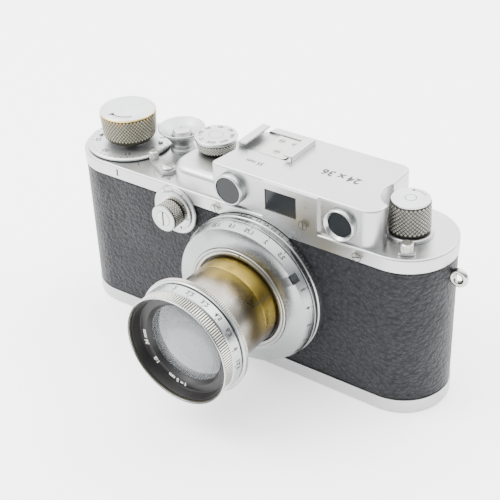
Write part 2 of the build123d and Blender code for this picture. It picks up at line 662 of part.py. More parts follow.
# ================================================================ lens
with BuildPart() as lens_mount:
    turn_forward(
        [(SHELL_RADIUS, THREAD_RADIUS), (SHELL_RADIUS, MOUNT_RADIUS), (MOUNT_FACE - 0.3, MOUNT_RADIUS),
         (MOUNT_FACE, MOUNT_RADIUS - 0.3), (MOUNT_FACE, THREAD_RADIUS)]
    )
save(lens_mount, "lens_mount")

with BuildPart() as lens_base:
    turn_forward(
        [(13.2, 18.35), (13.2, THREAD_RADIUS - 0.08), (MOUNT_FACE, THREAD_RADIUS - 0.08), (MOUNT_FACE, 24.1),
         (19.0, 24.1), (19.0, 18.35)]
    )
save(lens_base, "lens_base")

with BuildPart() as focus_ring:
    turn_forward(
        [(14.3, 17.3), (14.3, 18.25), (19.1, 18.25), (19.1, 24.05), (19.5, 24.0), (FOCUS_FRONT - 0.2, 22.7),
         (FOCUS_FRONT, 22.4), (24.3, 17.7), (24.3, 17.3)]
    )
    notch = polar((LENS_X, LENS_Z), 23.4, 34.5)
    outward = (cos(radians(34.5)), 0, sin(radians(34.5)))
    plane = Plane(origin=(notch[0], -25, notch[1]), x_dir=outward, z_dir=(0, 1, 0))
    with BuildSketch(plane) as cut:
        Rectangle(2.6, 3.2)
    extrude(cut.sketch, amount=4.2, mode=Mode.SUBTRACT)
save(focus_ring, "focus_ring")

with BuildPart() as focus_lever:
    turned = (cos(radians(LEVER_ANGLE)), 0, sin(radians(LEVER_ANGLE)))
    with BuildSketch(Plane(origin=(LENS_X, -22.4, LENS_Z), x_dir=turned, z_dir=(0, 1, 0))) as arm:
        with Locations((24.5, 0)):
            Rectangle(5.0, 5.4)
        with Locations((26.0, 0)):
            Circle(2.7)
            Circle(1.7, mode=Mode.SUBTRACT)
    extrude(arm.sketch, amount=1.8)
    add(focus_ring.part, mode=Mode.SUBTRACT)
save(focus_lever, "focus_lever")

with BuildPart() as infinity_button:
    button = polar((LENS_X, LENS_Z), 26.0, LEVER_ANGLE)
    turn_forward(
        [(19.0, 0), (19.0, 1.6), (23.5, 1.6), (23.5, 2.5), (24.3, 2.5), (24.6, 2.2), (24.6, 0)], button
    )
save(infinity_button, "infinity_button")

with BuildPart() as lens_carrier:
    turn_forward(
        [(11.5, 15.05), (11.5, 17.2), (24.5, 17.2), (CARRIER_FRONT, 17.0), (CARRIER_FRONT, 16.3),
         (24.5, 16.2), (CARRIER_FRONT, 16.1), (CARRIER_FRONT, 15.25), (24.5, 15.05)]
    )
save(lens_carrier, "lens_carrier")

with BuildPart() as guide_sleeve:
    turn_forward(tube_points(14.96, TUBE_RADIUS + 0.06, 13.0, 24.2))
save(guide_sleeve, "guide_sleeve")

with BuildPart() as lens_tube:
    turn_forward(tube_points(TUBE_RADIUS, 13.25, 12.3, HEAD_BACK))
save(lens_tube, "lens_tube")

with BuildPart() as lens_head:
    turn_forward(
        [(HEAD_BACK, 13.25), (HEAD_BACK, 18.6), (45.25, HEAD_RADIUS), (46.7, HEAD_RADIUS), (47.0, 18.4),
         (47.15, 17.6), (47.5, 17.95), (50.5, 17.75), (50.9, 17.4), (50.9, 16.65), (46.0, 16.65),
         (46.0, 13.25)]
    )
save(lens_head, "lens_head")

with BuildPart() as front_cell:
    turn_forward(
        [(46.0, GLASS_RADIUS), (46.0, 16.65), (54.2, 16.65), (54.2, 16.35), (51.2, 15.9), (51.2, 13.4),
         (50.3, 12.95), (50.0, GLASS_RADIUS)]
    )
save(front_cell, "front_cell")

with BuildPart() as front_glass:
    drill_forward((LENS_X, LENS_Z), GLASS_RADIUS, 46.4, 53, Mode.ADD)
    with Locations((LENS_X, -18.3, LENS_Z)):
        Sphere(34, mode=Mode.INTERSECT)
save(front_glass, "front_glass")

with BuildPart() as rear_glass:
    turn_forward([(34.0, 0), (33.4, 10.0), (34.0, 13.25), (41.5, 13.25), (40.8, 9.0), (40.4, 0)])
save(rear_glass, "rear_glass")

with BuildPart() as aperture_ring:
    turn_forward(
        [(STOP_RING_BACK, 16.75), (STOP_RING_BACK, 17.4), (51.3, STOP_RING_RADIUS), (54.6, STOP_RING_RADIUS),
         (STOP_RING_FRONT, 17.45), (STOP_RING_FRONT, 17.05), (54.4, 16.75)]
    )
save(aperture_ring, "aperture_ring")

for index in range(BLADES):
    turn = index * 360 / BLADES
    level = 43.0 + index * 0.16
    spin = (cos(radians(turn)), 0, sin(radians(turn)))
    with BuildPart() as iris_blade:
        with BuildSketch(Plane(origin=(LENS_X, -level, LENS_Z), x_dir=spin, z_dir=FORWARD)) as crescent:
            with BuildLine():
                outer_arc = CenterArc((0, 0), 12.95, 0, BLADE_SPAN)
                inner_arc = CenterArc((0, 0), 9.4, 0, BLADE_SPAN)
                Line(outer_arc @ 1, inner_arc @ 1)
                Line(outer_arc @ 0, inner_arc @ 0)
            make_face()
            with Locations((BLADE_PIVOT, 0)):
                Circle(0.7)
        extrude(crescent.sketch, amount=0.08)
    save(iris_blade, f"iris_blade_{index + 1}")

# ================================================================ base plate
with BuildPart() as base_plate:
    stadium(END_RADIUS, 0, LIP_TOP)
    fillet(base_plate.edges().group_by(Axis.Z)[0], 0.8)
    stadium(END_RADIUS - SHEET, 1.0, LIP_TOP, Mode.SUBTRACT)
    drill_up((KEY_X, 0), 9.6, 1.0, 2.2, Mode.ADD)
    drill_up((KEY_X, 0), KEY_RADIUS + 0.15, 0, 1.2)
    drill_up((KEY_X, 0), 2.45, 0, 2.2)
    drill_up((TRIPOD_X, 0), 6.0, 0, 1.0)
save(base_plate, "base_plate")

with BuildPart() as tripod_bush:
    turn_up(
        [(TRIPOD_BORE, 0), (6.0, 0), (6.0, 1.0), (7.4, 1.0), (7.4, 1.8), (5.0, 1.8), (5.0, 5.6), (0, 5.6),
         (0, 5.0), (TRIPOD_BORE, 5.0)],
        (TRIPOD_X, 0),
    )
save(tripod_bush, "tripod_bush")

with BuildPart() as base_key:
    turn_up(
        [(0, 0.1), (KEY_RADIUS - 0.2, 0.1), (KEY_RADIUS, 0.3), (KEY_RADIUS, 1.1), (2.4, 1.1), (2.4, 3.8),
         (0, 3.8)],
        (KEY_X, 0),
    )
    with BuildSketch(Plane(origin=(KEY_X, 0, 2.4))) as cam:
        Circle(9.0)
        with Locations((0, -8.0)):
            Rectangle(20, 10, mode=Mode.SUBTRACT)
    extrude(cam.sketch, amount=1.4)
    with BuildSketch(Plane(origin=(KEY_X, 0, 0))) as leaf_recess:
        Circle(7.4)
        with Locations((0, -4.6)):
            Rectangle(16, 8, mode=Mode.SUBTRACT)
    extrude(leaf_recess.sketch, amount=0.95, mode=Mode.SUBTRACT)
save(base_key, "base_key")

with BuildPart() as key_handle:
    with BuildSketch(Plane(origin=(KEY_X, 0, FOLD_HEIGHT - FOLD_RADIUS))) as leaf:
        Circle(7.1)
        with Locations((0, -4.0)):
            Rectangle(16, 8, mode=Mode.SUBTRACT)
    extrude(leaf.sketch, amount=2 * FOLD_RADIUS)
    with BuildSketch(Plane(origin=(KEY_X - 7, 0, FOLD_HEIGHT), x_dir=(0, 1, 0), z_dir=(1, 0, 0))) as barrel:
        Circle(FOLD_RADIUS)
    extrude(barrel.sketch, amount=14)
save(key_handle, "key_handle")
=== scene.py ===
# %% [markdown]
# # A rangefinder camera of the 1930s
# The camera's bodies, fits and joints come from a CAD model that is loaded first and never moved.
# Each cell then makes one finish or one piece that the eye looks at closely: knurled knobs, engraved
# dials, the pebbled covering, the worn lens tube. A new piece names the body it rides on and the
# CAD part it stands for, so that it turns and slides with the real mechanism.

# %% Load the frame
from math import atan2, cos, hypot, pi, radians, sin

import bmesh
import bpy
from mathutils import Matrix, Vector, noise


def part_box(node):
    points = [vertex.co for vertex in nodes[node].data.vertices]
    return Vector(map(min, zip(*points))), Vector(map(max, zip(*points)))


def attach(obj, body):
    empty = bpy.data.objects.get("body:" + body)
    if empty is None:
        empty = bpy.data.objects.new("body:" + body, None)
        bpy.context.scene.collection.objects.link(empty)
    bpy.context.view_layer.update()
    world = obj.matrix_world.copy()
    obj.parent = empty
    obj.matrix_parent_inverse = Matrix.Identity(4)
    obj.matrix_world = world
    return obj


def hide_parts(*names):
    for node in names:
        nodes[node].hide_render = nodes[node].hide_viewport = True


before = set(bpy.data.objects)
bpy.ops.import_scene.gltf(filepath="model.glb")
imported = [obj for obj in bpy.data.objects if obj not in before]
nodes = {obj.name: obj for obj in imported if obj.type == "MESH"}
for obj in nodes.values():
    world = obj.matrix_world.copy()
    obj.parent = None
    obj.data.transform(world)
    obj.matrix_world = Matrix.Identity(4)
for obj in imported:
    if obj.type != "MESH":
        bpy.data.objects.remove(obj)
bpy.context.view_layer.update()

MM = 0.001

# %% [markdown]
# ## Where things are
# Every turned part of this camera stands on one of two kinds of axis: a vertical one (knobs, dials) or
# one that points to the front (lens rings, windows). An `Axis` here is a point, the direction along it
# and two directions across it. Most are read off the CAD parts' boxes, so that a place is not typed twice.

# %% Axes of the turned parts
class Axis:
    def __init__(self, origin, along, across, third):
        self.origin, self.along, self.across, self.third = map(Vector, (origin, along, across, third))

    def at(self, along, radius, angle):
        """Point in metres, from a distance along the axis, a radius and an angle in radians."""
        side = self.across * cos(angle) + self.third * sin(angle)
        return self.origin + (self.along * along + side * radius) * MM


def upright(x, y):
    return Axis((x, y, 0), (0, 0, 1), (1, 0, 0), (0, 1, 0))


def facing(x, z):
    return Axis((x, 0, z), (0, -1, 0), (1, 0, 0), (0, 0, 1))


def middle(name):
    low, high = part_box(name)
    return (low + high) / 2


def half_width(name):
    """Outer radius of a turned CAD part, in millimetres."""
    low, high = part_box(name)
    return (high.x - low.x) / 2 / MM


def heights(name):
    """Bottom and top of a CAD part, in millimetres."""
    low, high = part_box(name)
    return low.z / MM, high.z / MM


WIND, RELEASE, DIAL, REWIND = [
    upright(*middle(name).xy) for name in ("wind_knob", "release_button", "speed_dial", "rewind_knob")
]
LENS, SLOW = [facing(*middle(name).xz) for name in ("lens_mount", "slow_dial_screw")]
print("wind axis", WIND.origin, "lens axis", LENS.origin)

# %% [markdown]
# ## Building helpers
# A turned part is drawn as half of its section and spun, as on a lathe. Its corners get a small bevel,
# because a machined edge always catches a thin line of light. A knurl is pressed into a band of the
# spun mesh: a diamond knurl raises every second point of the grid like a chessboard, and straight
# ribs raise every second column. That costs few faces and still throws real shadows.

# %% Spin, bevel and knurl
def outward(bm):
    """Turn all the faces of a bmesh to look outward, and hand it back."""
    bmesh.ops.recalc_face_normals(bm, faces=bm.faces)
    return bm


def outline(*points, rows=()):
    """Half section as (along, radius) pairs; rows is (low, high, count) of extra rows on one stretch."""
    profile = list(points)
    if rows:
        low, high, count = rows
        index = profile.index(low)
        steps = [i / count for i in range(1, count)]
        between = [tuple(a + (b - a) * t for a, b in zip(low, high)) for t in steps]
        profile[index + 1:index + 1] = between
    return profile


def turned(axis, profile, steps=128, bevel=0.12, band=(), depth=0.0, ribs=0):
    """Spin a section about an axis; band is the (low, high) stretch of it that gets a knurl."""
    bm = bmesh.new()
    verts = [bm.verts.new((radius, 0, along)) for along, radius in profile]
    edges = [bm.edges.new(pair) for pair in zip(verts, verts[1:] + verts[:1])]
    bmesh.ops.spin(
        bm, geom=verts + edges, cent=(0, 0, 0), axis=(0, 0, 1), angle=2 * pi, steps=steps, use_merge=True
    )
    bmesh.ops.remove_doubles(bm, verts=bm.verts, dist=0.001)
    bmesh.ops.dissolve_degenerate(bm, dist=0.0001, edges=bm.edges)
    outward(bm)
    pressed = knurl(bm, band, depth, ribs, steps) if band else set()
    if bevel:
        sharp = [
            e for e in bm.edges
            if len(e.link_faces) == 2 and e.calc_face_angle() > 0.5 and pressed.isdisjoint(e.verts)
        ]
        bmesh.ops.bevel(
            bm, geom=sharp, offset=bevel, segments=2, profile=0.5, affect="EDGES", material=-1,
            clamp_overlap=True,
        )
    for vert in bm.verts:
        vert.co = axis.at(vert.co.z, hypot(vert.co.x, vert.co.y), atan2(vert.co.y, vert.co.x))
    return outward(bm)


def knurl(bm, band, depth, ribs, steps):
    """Raise part of the points on the band by depth, and return all points of the band."""
    (low, low_radius), (high, high_radius) = band
    on_line = {}
    for vert in bm.verts:
        share = (vert.co.z - low) / (high - low)
        radius = low_radius + (high_radius - low_radius) * share
        if -0.01 < share < 1.01 and abs(hypot(vert.co.x, vert.co.y) - radius) < 0.02:
            on_line[vert] = radius
    rows = sorted({round(vert.co.z, 3) for vert in on_line})
    raised = set()
    for vert in on_line:
        row = rows.index(round(vert.co.z, 3))
        column = round(atan2(vert.co.y, vert.co.x) / (2 * pi) * steps) % steps
        diamond = (column + row) % 2 and 0 < row < len(rows) - 1
        if column * ribs * 2 // steps % 2 if ribs else diamond:
            raised.add(vert)
    if not ribs:
        for face in [f for f in bm.faces if len(f.verts) == 4 and on_line.keys() >= set(f.verts)]:
            corners = list(face.verts)
            start = 1 if corners[0] in raised or corners[2] in raised else 0
            bmesh.utils.face_split(face, corners[start], corners[start + 2])
    for vert, radius in on_line.items():
        vert.co.xy *= (radius + (depth if vert in raised else 0)) / radius
    return set(on_line)


print("helpers for turned parts are ready")

# %% [markdown]
# ## From bmesh to a piece
# A finished piece keeps its object at the origin with its place in the mesh, as the CAD parts do.
# Small flat-topped details keep crisp edges: faces that meet at less than 35 degrees are shaded
# smooth, the rest sharp.

# %% Turn meshes into riding pieces
def piece(name, meshes, body, slot, material, *stands_for, angle=35):
    """Join bmeshes to one object, and say what it rides on and the CAD parts it replaces. The slot is not
    used.
    """
    whole = bpy.data.meshes.new(name)
    joined = bmesh.new()
    for bm in meshes:
        bm.to_mesh(whole)
        joined.from_mesh(whole)
        bm.free()
    joined.to_mesh(whole)
    joined.free()
    whole.polygons.foreach_set("use_smooth", [True] * len(whole.polygons))
    whole.set_sharp_from_angle(angle=radians(angle))
    obj = bpy.data.objects.new(name, whole)
    bpy.context.scene.collection.objects.link(obj)
    obj.data.materials.append(material)
    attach(obj, body)
    if stands_for:
        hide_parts(*stands_for)
    print(f"{name}: {len(whole.polygons)} faces, rides on {body}")
    return obj


def painted(name, meshes, body):
    """Engraved figures and lines filled with black, and black marks of painted shade in slots and grooves.
    """
    piece(name, meshes, body, "black_enamel", paint)


def dress(material, *names):
    """Give CAD parts whose shape is right a better material."""
    for name in names:
        for material_slot in nodes[name].material_slots:
            material_slot.material = material


# %% [markdown]
# ## Engraving
# Cut and filled figures are modelled as very thin raised text, because a cut that is filled level with
# black paint looks the same as a film of paint on the surface. Each figure is set flat, made a mesh,
# and then bent onto its dial: across becomes an angle round the axis, and up becomes a slope along it.
# Marks on flat faces are only moved there. The same black film also stands as painted shade in screw
# slots, round screw heads and in the grooves of the lens carrier.

# %% Figures and marks on turned surfaces
FILM = 0.015
STROKE = 0.03


def flat_text(words, size):
    """Centred text as a bmesh in millimetres, lying in XY with a little thickness."""
    curve = bpy.data.curves.new("figure", "FONT")
    curve.body, curve.size, curve.extrude, curve.resolution_u = words, size, FILM, 2
    curve.align_x, curve.align_y, curve.offset = "CENTER", "CENTER", size * STROKE
    holder = bpy.data.objects.new("figure", curve)
    bpy.context.scene.collection.objects.link(holder)
    bpy.context.view_layer.update()
    mesh = bpy.data.meshes.new_from_object(holder)
    bpy.data.objects.remove(holder)
    bm = bmesh.new()
    bm.from_mesh(mesh)
    bpy.data.meshes.remove(mesh)
    return bm


def thicken(bm):
    """Give flat faces the thickness of a film of paint."""
    shell = bmesh.ops.extrude_face_region(bm, geom=bm.faces[:])
    top = [v for v in shell["geom"] if isinstance(v, bmesh.types.BMVert)]
    bmesh.ops.translate(bm, vec=(0, 0, FILM), verts=top)
    return outward(bm)


def flat_mark(width, height, columns=1):
    """A plain flat bar, with enough columns to bend, for engraved marks and for painted shade."""
    bm = bmesh.new()
    bmesh.ops.create_grid(bm, x_segments=columns, y_segments=1, size=0.5)
    bmesh.ops.scale(bm, vec=(width, height, 1), verts=bm.verts)
    return thicken(bm)


def lean_over(bm, angle):
    """Turn a flat mesh in its own plane by degrees."""
    bmesh.ops.rotate(bm, cent=(0, 0, 0), matrix=Matrix.Rotation(radians(angle), 3, "Z"), verts=bm.verts)
    return bm


def bend(bm, axis, along, radius, angle, rise=(0, 1), turn=-1):
    """Wrap a flat mesh onto a turned surface: rise is the (along, radius) way that its top points."""
    rise = Vector(rise).normalized()
    out = Vector((abs(rise.y), abs(rise.x)))
    if rise.x and rise.y:
        out = Vector((-rise.y, rise.x)) if -rise.y * rise.x > 0 else Vector((rise.y, -rise.x))
        out = out if out.x + out.y > 0 else -out
    for vert in bm.verts:
        shift = rise * vert.co.y + out * vert.co.z
        vert.co = axis.at(along + shift.x, radius + shift.y, radians(angle) + turn * vert.co.x / radius)
    return outward(bm)


def arc_mark(axis, along, inner, outer, start, sweep, columns=24):
    """A flat curved bar on a face that looks along the axis."""
    bm = flat_mark(1, outer - inner, columns)
    for vert in bm.verts:
        angle = radians(start + (vert.co.x + 0.5) * sweep)
        vert.co = axis.at(along + vert.co.z, (inner + outer) / 2 + vert.co.y, angle)
    return outward(bm)


def arrow_head(axis, along, radius, angle, size):
    """A flat triangle that points round the axis."""
    bm = bmesh.new()
    bmesh.ops.create_circle(bm, cap_ends=True, radius=size, segments=3)
    return bend(lean_over(thicken(bm), 90), axis, along, radius, angle)


def on_front(bm, x, y, z):
    """Stand a flat mark on a face that looks forward; y is that face's reach to the front."""
    for vert in bm.verts:
        vert.co = Vector((x + vert.co.x, -y - vert.co.z, z + vert.co.y)) * MM
    return outward(bm)


def on_deck(bm, x, y, z, turn=0.0):
    """Lay a flat mark on a face that looks up."""
    bmesh.ops.translate(lean_over(bm, turn), vec=(x, y, z), verts=bm.verts)
    bmesh.ops.scale(bm, vec=(MM, MM, MM), verts=bm.verts)
    return bm


print("helpers for engraving are ready")

# %% [markdown]
# ## Finishes
# Each finish is a Principled shader with its own detail: a noise that shifts the colour, one that
# breaks up the gloss, and a bump at the grain's real size. Scales are per metre because the patterns
# read Object coordinates, and one metre is one unit.

# %% Shader helpers
def finish(name, colour, metallic, roughness, **inputs):
    """New material; inputs name other sockets of the shader that keep one value."""
    material = bpy.data.materials.new(name)
    material.use_nodes = True
    shader = material.node_tree.nodes["Principled BSDF"]
    shader.inputs["Base Color"].default_value = (*colour, 1)
    shader.inputs["Metallic"].default_value = metallic
    shader.inputs["Roughness"].default_value = roughness
    for socket, value in inputs.items():
        shader.inputs[socket.replace("_", " ")].default_value = value
    return material


def node(material, kind, **inputs):
    """New node; inputs are values or sockets to wire in, named as the sockets are."""
    made = material.node_tree.nodes.new("ShaderNode" + kind)
    for socket, value in inputs.items():
        plug = made.inputs[int(socket[1:])] if socket[0] == "_" else made.inputs[socket]
        if isinstance(value, bpy.types.NodeSocket):
            material.node_tree.links.new(value, plug)
        else:
            plug.default_value = value
    return made


def place(material, centre=(0, 0, 0), scale=(1, 1, 1)):
    """Object coordinates, moved so that centre is zero, and stretched."""
    source = node(material, "TexCoord").outputs["Object"]
    shift = node(material, "VectorMath", _0=source, _1=Vector(centre))
    shift.operation = "SUBTRACT"
    return node(material, "Mapping", Vector=shift.outputs[0], Scale=Vector(scale)).outputs[0]


def ramp(material, factor, *stops):
    """Colour ramp from (position, colour) stops; a grey may be one number."""
    made = node(material, "ValToRGB", Fac=factor)
    elements = made.color_ramp.elements
    while len(elements) < len(stops):
        elements.new(0.5)
    for element, (position, colour) in zip(elements, stops):
        element.position = position
        rgb = (colour,) * 3 if isinstance(colour, (int, float)) else colour
        element.color = (*rgb, 1)
    return made.outputs["Color"]


def into(material, socket, value):
    shader = material.node_tree.nodes["Principled BSDF"]
    material.node_tree.links.new(value, shader.inputs[socket])


def bump(material, height, depth, strength=1.0):
    """Relief of depth metres where the height goes from 0 to 1."""
    made = node(material, "Bump", Strength=strength, Distance=depth, Height=height)
    into(material, "Normal", made.outputs[0])


def grain(material, vector, scale, depth):
    """Fine bump of a noise: scale per metre, depth in metres."""
    bump(material, node(material, "TexNoise", Vector=vector, Scale=scale, Detail=4).outputs[0], depth)


def blotches(material, vector, scale, low, high):
    """Slow variation of the gloss between two roughnesses."""
    cloud = node(material, "TexNoise", Vector=vector, Scale=scale, Detail=5, Roughness=0.6)
    into(material, "Roughness", ramp(material, cloud.outputs[0], (0.35, low), (0.68, high)))


def number(material, kind, first, second=0.0):
    """One Math node on values or sockets."""
    made = node(material, "Math", _0=first, _1=second)
    made.operation = kind
    return made.outputs[0]


def rising(material, value, low, high, start=0.0, end=1.0):
    """Map a value from one range to another, held at the ends."""
    made = node(material, "MapRange", Value=value)
    for socket, edge in (("From Min", low), ("From Max", high), ("To Min", start), ("To Max", end)):
        made.inputs[socket].default_value = edge
    return made.outputs["Result"]


def distance(material, centre, ways):
    """Distance from a centre, counted only along the ways that are 1."""
    made = node(material, "VectorMath", _0=place(material, centre, ways))
    made.operation = "LENGTH"
    return made.outputs["Value"]


print("shader helpers are ready")

# %% [markdown]
# ### Satin chrome
# The top, the base and the lens rings were blasted with fine grit and then chromed, so they scatter
# light softly with a faint sparkle. Ninety years of hands leave slow smears of gloss on it.

# %% Satin chrome and its polished and spun relatives
def satin_chrome(name="satin_chrome", colour=(0.46, 0.465, 0.46), roughness=0.34, depth=0.000012):
    material = finish(name, colour, 1.0, roughness)
    where = place(material)
    grain(material, where, 5200, depth)
    blotches(material, where, 55, roughness - 0.07, roughness + 0.08)
    tint = node(material, "TexNoise", Vector=where, Scale=38, Detail=6)
    shade = ramp(material, tint.outputs[0], (0.3, tuple(c * 0.93 for c in colour)), (0.7, colour))
    into(material, "Base Color", shade)
    return material


SPUN_PITCH = 0.3
SPUN_DEPTH = 0.000002


def spun(name, axis, colour=(0.52, 0.53, 0.54), roughness=0.3):
    """Lathe-turned face: fine circles about the axis."""
    material = finish(name, colour, 1.0, roughness, Anisotropic=0.9)
    tangent = node(material, "Tangent")
    tangent.direction_type, tangent.axis = "RADIAL", "Z" if axis.along.z else "Y"
    into(material, "Tangent", tangent.outputs[0])
    ways = [0 if abs(component) > 0.5 else 1 for component in axis.along]
    rings = number(material, "MULTIPLY", distance(material, axis.origin, ways), 2 * pi / (SPUN_PITCH * MM))
    bump(material, number(material, "SINE", rings), SPUN_DEPTH)
    blotches(material, place(material), 90, roughness - 0.06, roughness + 0.08)
    return material


chrome = satin_chrome()
ring_chrome = satin_chrome("lens_ring_chrome", (0.40, 0.41, 0.41), 0.27, 0.000006)
ring_face = spun("spun_focusing_ring", LENS, (0.29, 0.30, 0.30), 0.24)
polished = finish("polished_steel", (0.45, 0.45, 0.43), 1.0, 0.18)
screw_steel = finish("screw_steel", (0.30, 0.29, 0.27), 1.0, 0.3)
grain(screw_steel, place(screw_steel), 1500, 0.000006)
grain(polished, place(polished), 1500, 0.000004)
wind_top = spun("spun_wind_knob", WIND)
rewind_top = spun("spun_rewind_knob", REWIND)
print("chrome finishes are ready")

# %% [markdown]
# ### Worn knurl
# On the winding knob the chrome is rubbed through at the top edge, and yellow brass shows. The wear
# follows the height on the knob and is broken up by a noise, as fingers don't wear evenly. On every
# knurl the grooves are painted dark, as painted shade, and the points keep the metal's colour.

# %% Knurl that wears to brass, with painted shade in its grooves
BRASS = (0.60, 0.45, 0.20)
# Painted shade: the colour at the bottom of the knurl grooves.
GROOVE_SHADE = (0.05, 0.046, 0.037)
WORN_STEEL = (0.50, 0.49, 0.45)


def worn_knurl(name, axis, band, depth, wear=0.0, tint=WORN_STEEL):
    """Painted shade in the grooves and plain metal on the points, from how far a spot stands out of the
    band's line.
    """
    (low, low_radius), (high, high_radius) = band
    material = finish(name, tint, 1.0, 0.3)
    moved = place(material, axis.origin)
    split = node(material, "SeparateXYZ", Vector=moved)
    along = split.outputs["Z"] if axis.along.z else number(material, "MULTIPLY", split.outputs["Y"], -1.0)
    flat = [0 if component else 1 for component in axis.along]
    line = rising(material, along, low * MM, high * MM, low_radius * MM, high_radius * MM)
    proud = number(material, "SUBTRACT", distance(material, axis.origin, flat), line)
    crest = rising(material, proud, depth * 0.06 * MM, depth * 0.62 * MM)
    cloud = node(material, "TexNoise", Vector=moved, Scale=300, Detail=4).outputs[0]
    gone = number(material, "MULTIPLY", rising(material, along, (low + high) / 2 * MM, high * MM), cloud)
    rubbed = ramp(material, gone, (0.28, 0.0), (0.52, wear))
    metal = node(material, "MixRGB", Fac=rubbed, Color1=(*tint, 1), Color2=(*BRASS, 1))
    # Painted shade: the grooves go dark, and the points keep the metal's colour.
    groove_shaded = node(material, "MixRGB", Fac=crest, Color1=(*GROOVE_SHADE, 1), Color2=metal.outputs[0])
    into(material, "Base Color", groove_shaded.outputs[0])
    into(material, "Roughness", ramp(material, crest, (0.0, 0.6), (1.0, 0.26)))
    grain(material, moved, 3000, 0.000008)
    return material


KNOB_DEPTH, DIAL_DEPTH, SLOW_DEPTH, STOP_DEPTH, FLANGE_DEPTH = 0.28, 0.16, 0.15, 0.2, 0.18
bottom, top = heights("wind_knob")
WIND_BAND = ((bottom + 1.3, 8.4), (top - 0.75, 9.0))
worn = worn_knurl("worn_knurl", WIND, WIND_BAND, KNOB_DEPTH, 1.0, (0.42, 0.395, 0.31))
bottom, top = heights("rewind_knob")
REWIND_BAND = ((bottom + 0.35, 6.05), (top - 0.75, 5.7))
rewind_knurl = worn_knurl("rewind_knurl", REWIND, REWIND_BAND, KNOB_DEPTH)
DIAL_BAND = ((62.9, 6.0), (65.7, 6.35))
dial_knurl = worn_knurl("dial_knurl", DIAL, DIAL_BAND, DIAL_DEPTH)
SLOW_BAND = ((17.0, 4.35), (21.1, 4.4))
slow_knurl = worn_knurl("slow_knurl", SLOW, SLOW_BAND, SLOW_DEPTH)
STOP_BAND = ((51.35, 17.5), (54.5, 17.45))
stop_ribs = worn_knurl("stop_ribs", LENS, STOP_BAND, STOP_DEPTH)
FLANGE_BAND = ((45.3, 18.65), (46.5, 18.65))
flange_ribs = worn_knurl("flange_ribs", LENS, FLANGE_BAND, FLANGE_DEPTH)
plain_knurl = satin_chrome("post_chrome", (0.42, 0.415, 0.39), 0.28)
print("worn knurl is ready")

# %% [markdown]
# ### Aged nickel
# The collapsing tube is nickel plate on brass. Sliding in and out has polished the plate thin near the
# mount, where it glows golden. The underside is painted darker, in a purple brown, as painted shade.

# %% Tube that turns from nickel to brass
def aged_nickel():
    material = finish("aged_nickel", (0.5, 0.46, 0.38), 1.0, 0.36)
    low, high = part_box("lens_tube")
    where = place(material)
    split = node(material, "SeparateXYZ", Vector=where)
    cloud = node(material, "TexNoise", Vector=where, Scale=110, Detail=6, Roughness=0.65).outputs[0]
    worn_out = rising(material, split.outputs["Y"], low.y + 0.006, low.y + 0.018)
    blend = number(material, "ADD", number(material, "MULTIPLY", cloud, 0.9), worn_out)
    gold = ramp(material, blend, (0.4, (0.25, 0.235, 0.21)), (0.72, (0.17, 0.135, 0.075)),
                (1.0, (0.26, 0.185, 0.04)))
    # Painted shade: below the lens axis the tube darkens to a dark purple brown.
    below = rising(material, split.outputs["Z"], LENS.origin.z + 0.002, low.z)
    underside_shade = ramp(material, number(material, "MULTIPLY", below, cloud), (0.05, 0.0), (0.24, 0.95))
    mix = node(material, "MixRGB", Fac=underside_shade, Color1=gold, Color2=(0.06, 0.04, 0.037, 1))
    into(material, "Base Color", mix.outputs[0])
    stretched = place(material, scale=(0.15, 1.6, 0.15))
    scratches = node(material, "TexNoise", Vector=stretched, Scale=1500, Detail=6).outputs[0]
    bump(material, scratches, 0.000015, 0.8)
    into(material, "Roughness", ramp(material, cloud, (0.3, 0.22), (0.7, 0.38)))
    return material


nickel = aged_nickel()
print("aged nickel is ready")

# %% [markdown]
# ### Black finishes, paint in the engraving, painted shade and glass
# The covering is vulcanite, a hard rubber with a pebbled grain and a dull sheen, and the gaps between
# its pebbles are painted darker, as painted shade. The lens bevel is black enamel. The engraving black is
# also painted shade in screw slots and grooves. The front glass lets light through but is hazy, most in its
# middle, as such old glass is. The window glass is opaque and near black, as painted shade for the dark
# inside of the camera.

# %% Covering, enamel, paint and glass
def vulcanite():
    material = finish("vulcanite", (0.016, 0.017, 0.02), 0.0, 0.48, Specular_IOR_Level=0.19)
    where = place(material)
    pebble = node(material, "TexVoronoi", Vector=where, Scale=850)
    pebble.feature = "SMOOTH_F1"
    gap = pebble.outputs["Distance"]
    fine = node(material, "TexNoise", Vector=where, Scale=2300, Detail=4).outputs[0]
    bump(material, number(material, "ADD", number(material, "MULTIPLY", gap, -1.2), fine), 0.0004)
    # Painted shade: the gaps between the pebbles are darker than their tops.
    pebble_gap_shade = ramp(material, gap, (0.1, (0.017, 0.018, 0.022)), (0.7, (0.003, 0.003, 0.004)))
    into(material, "Base Color", pebble_gap_shade)
    blotches(material, where, 60, 0.36, 0.52)
    return material


covering_finish = vulcanite()
enamel = finish("black_enamel", (0.010, 0.009, 0.009), 0.0, 0.35, Specular_IOR_Level=0.3)
grain(enamel, place(enamel), 900, 0.00002)
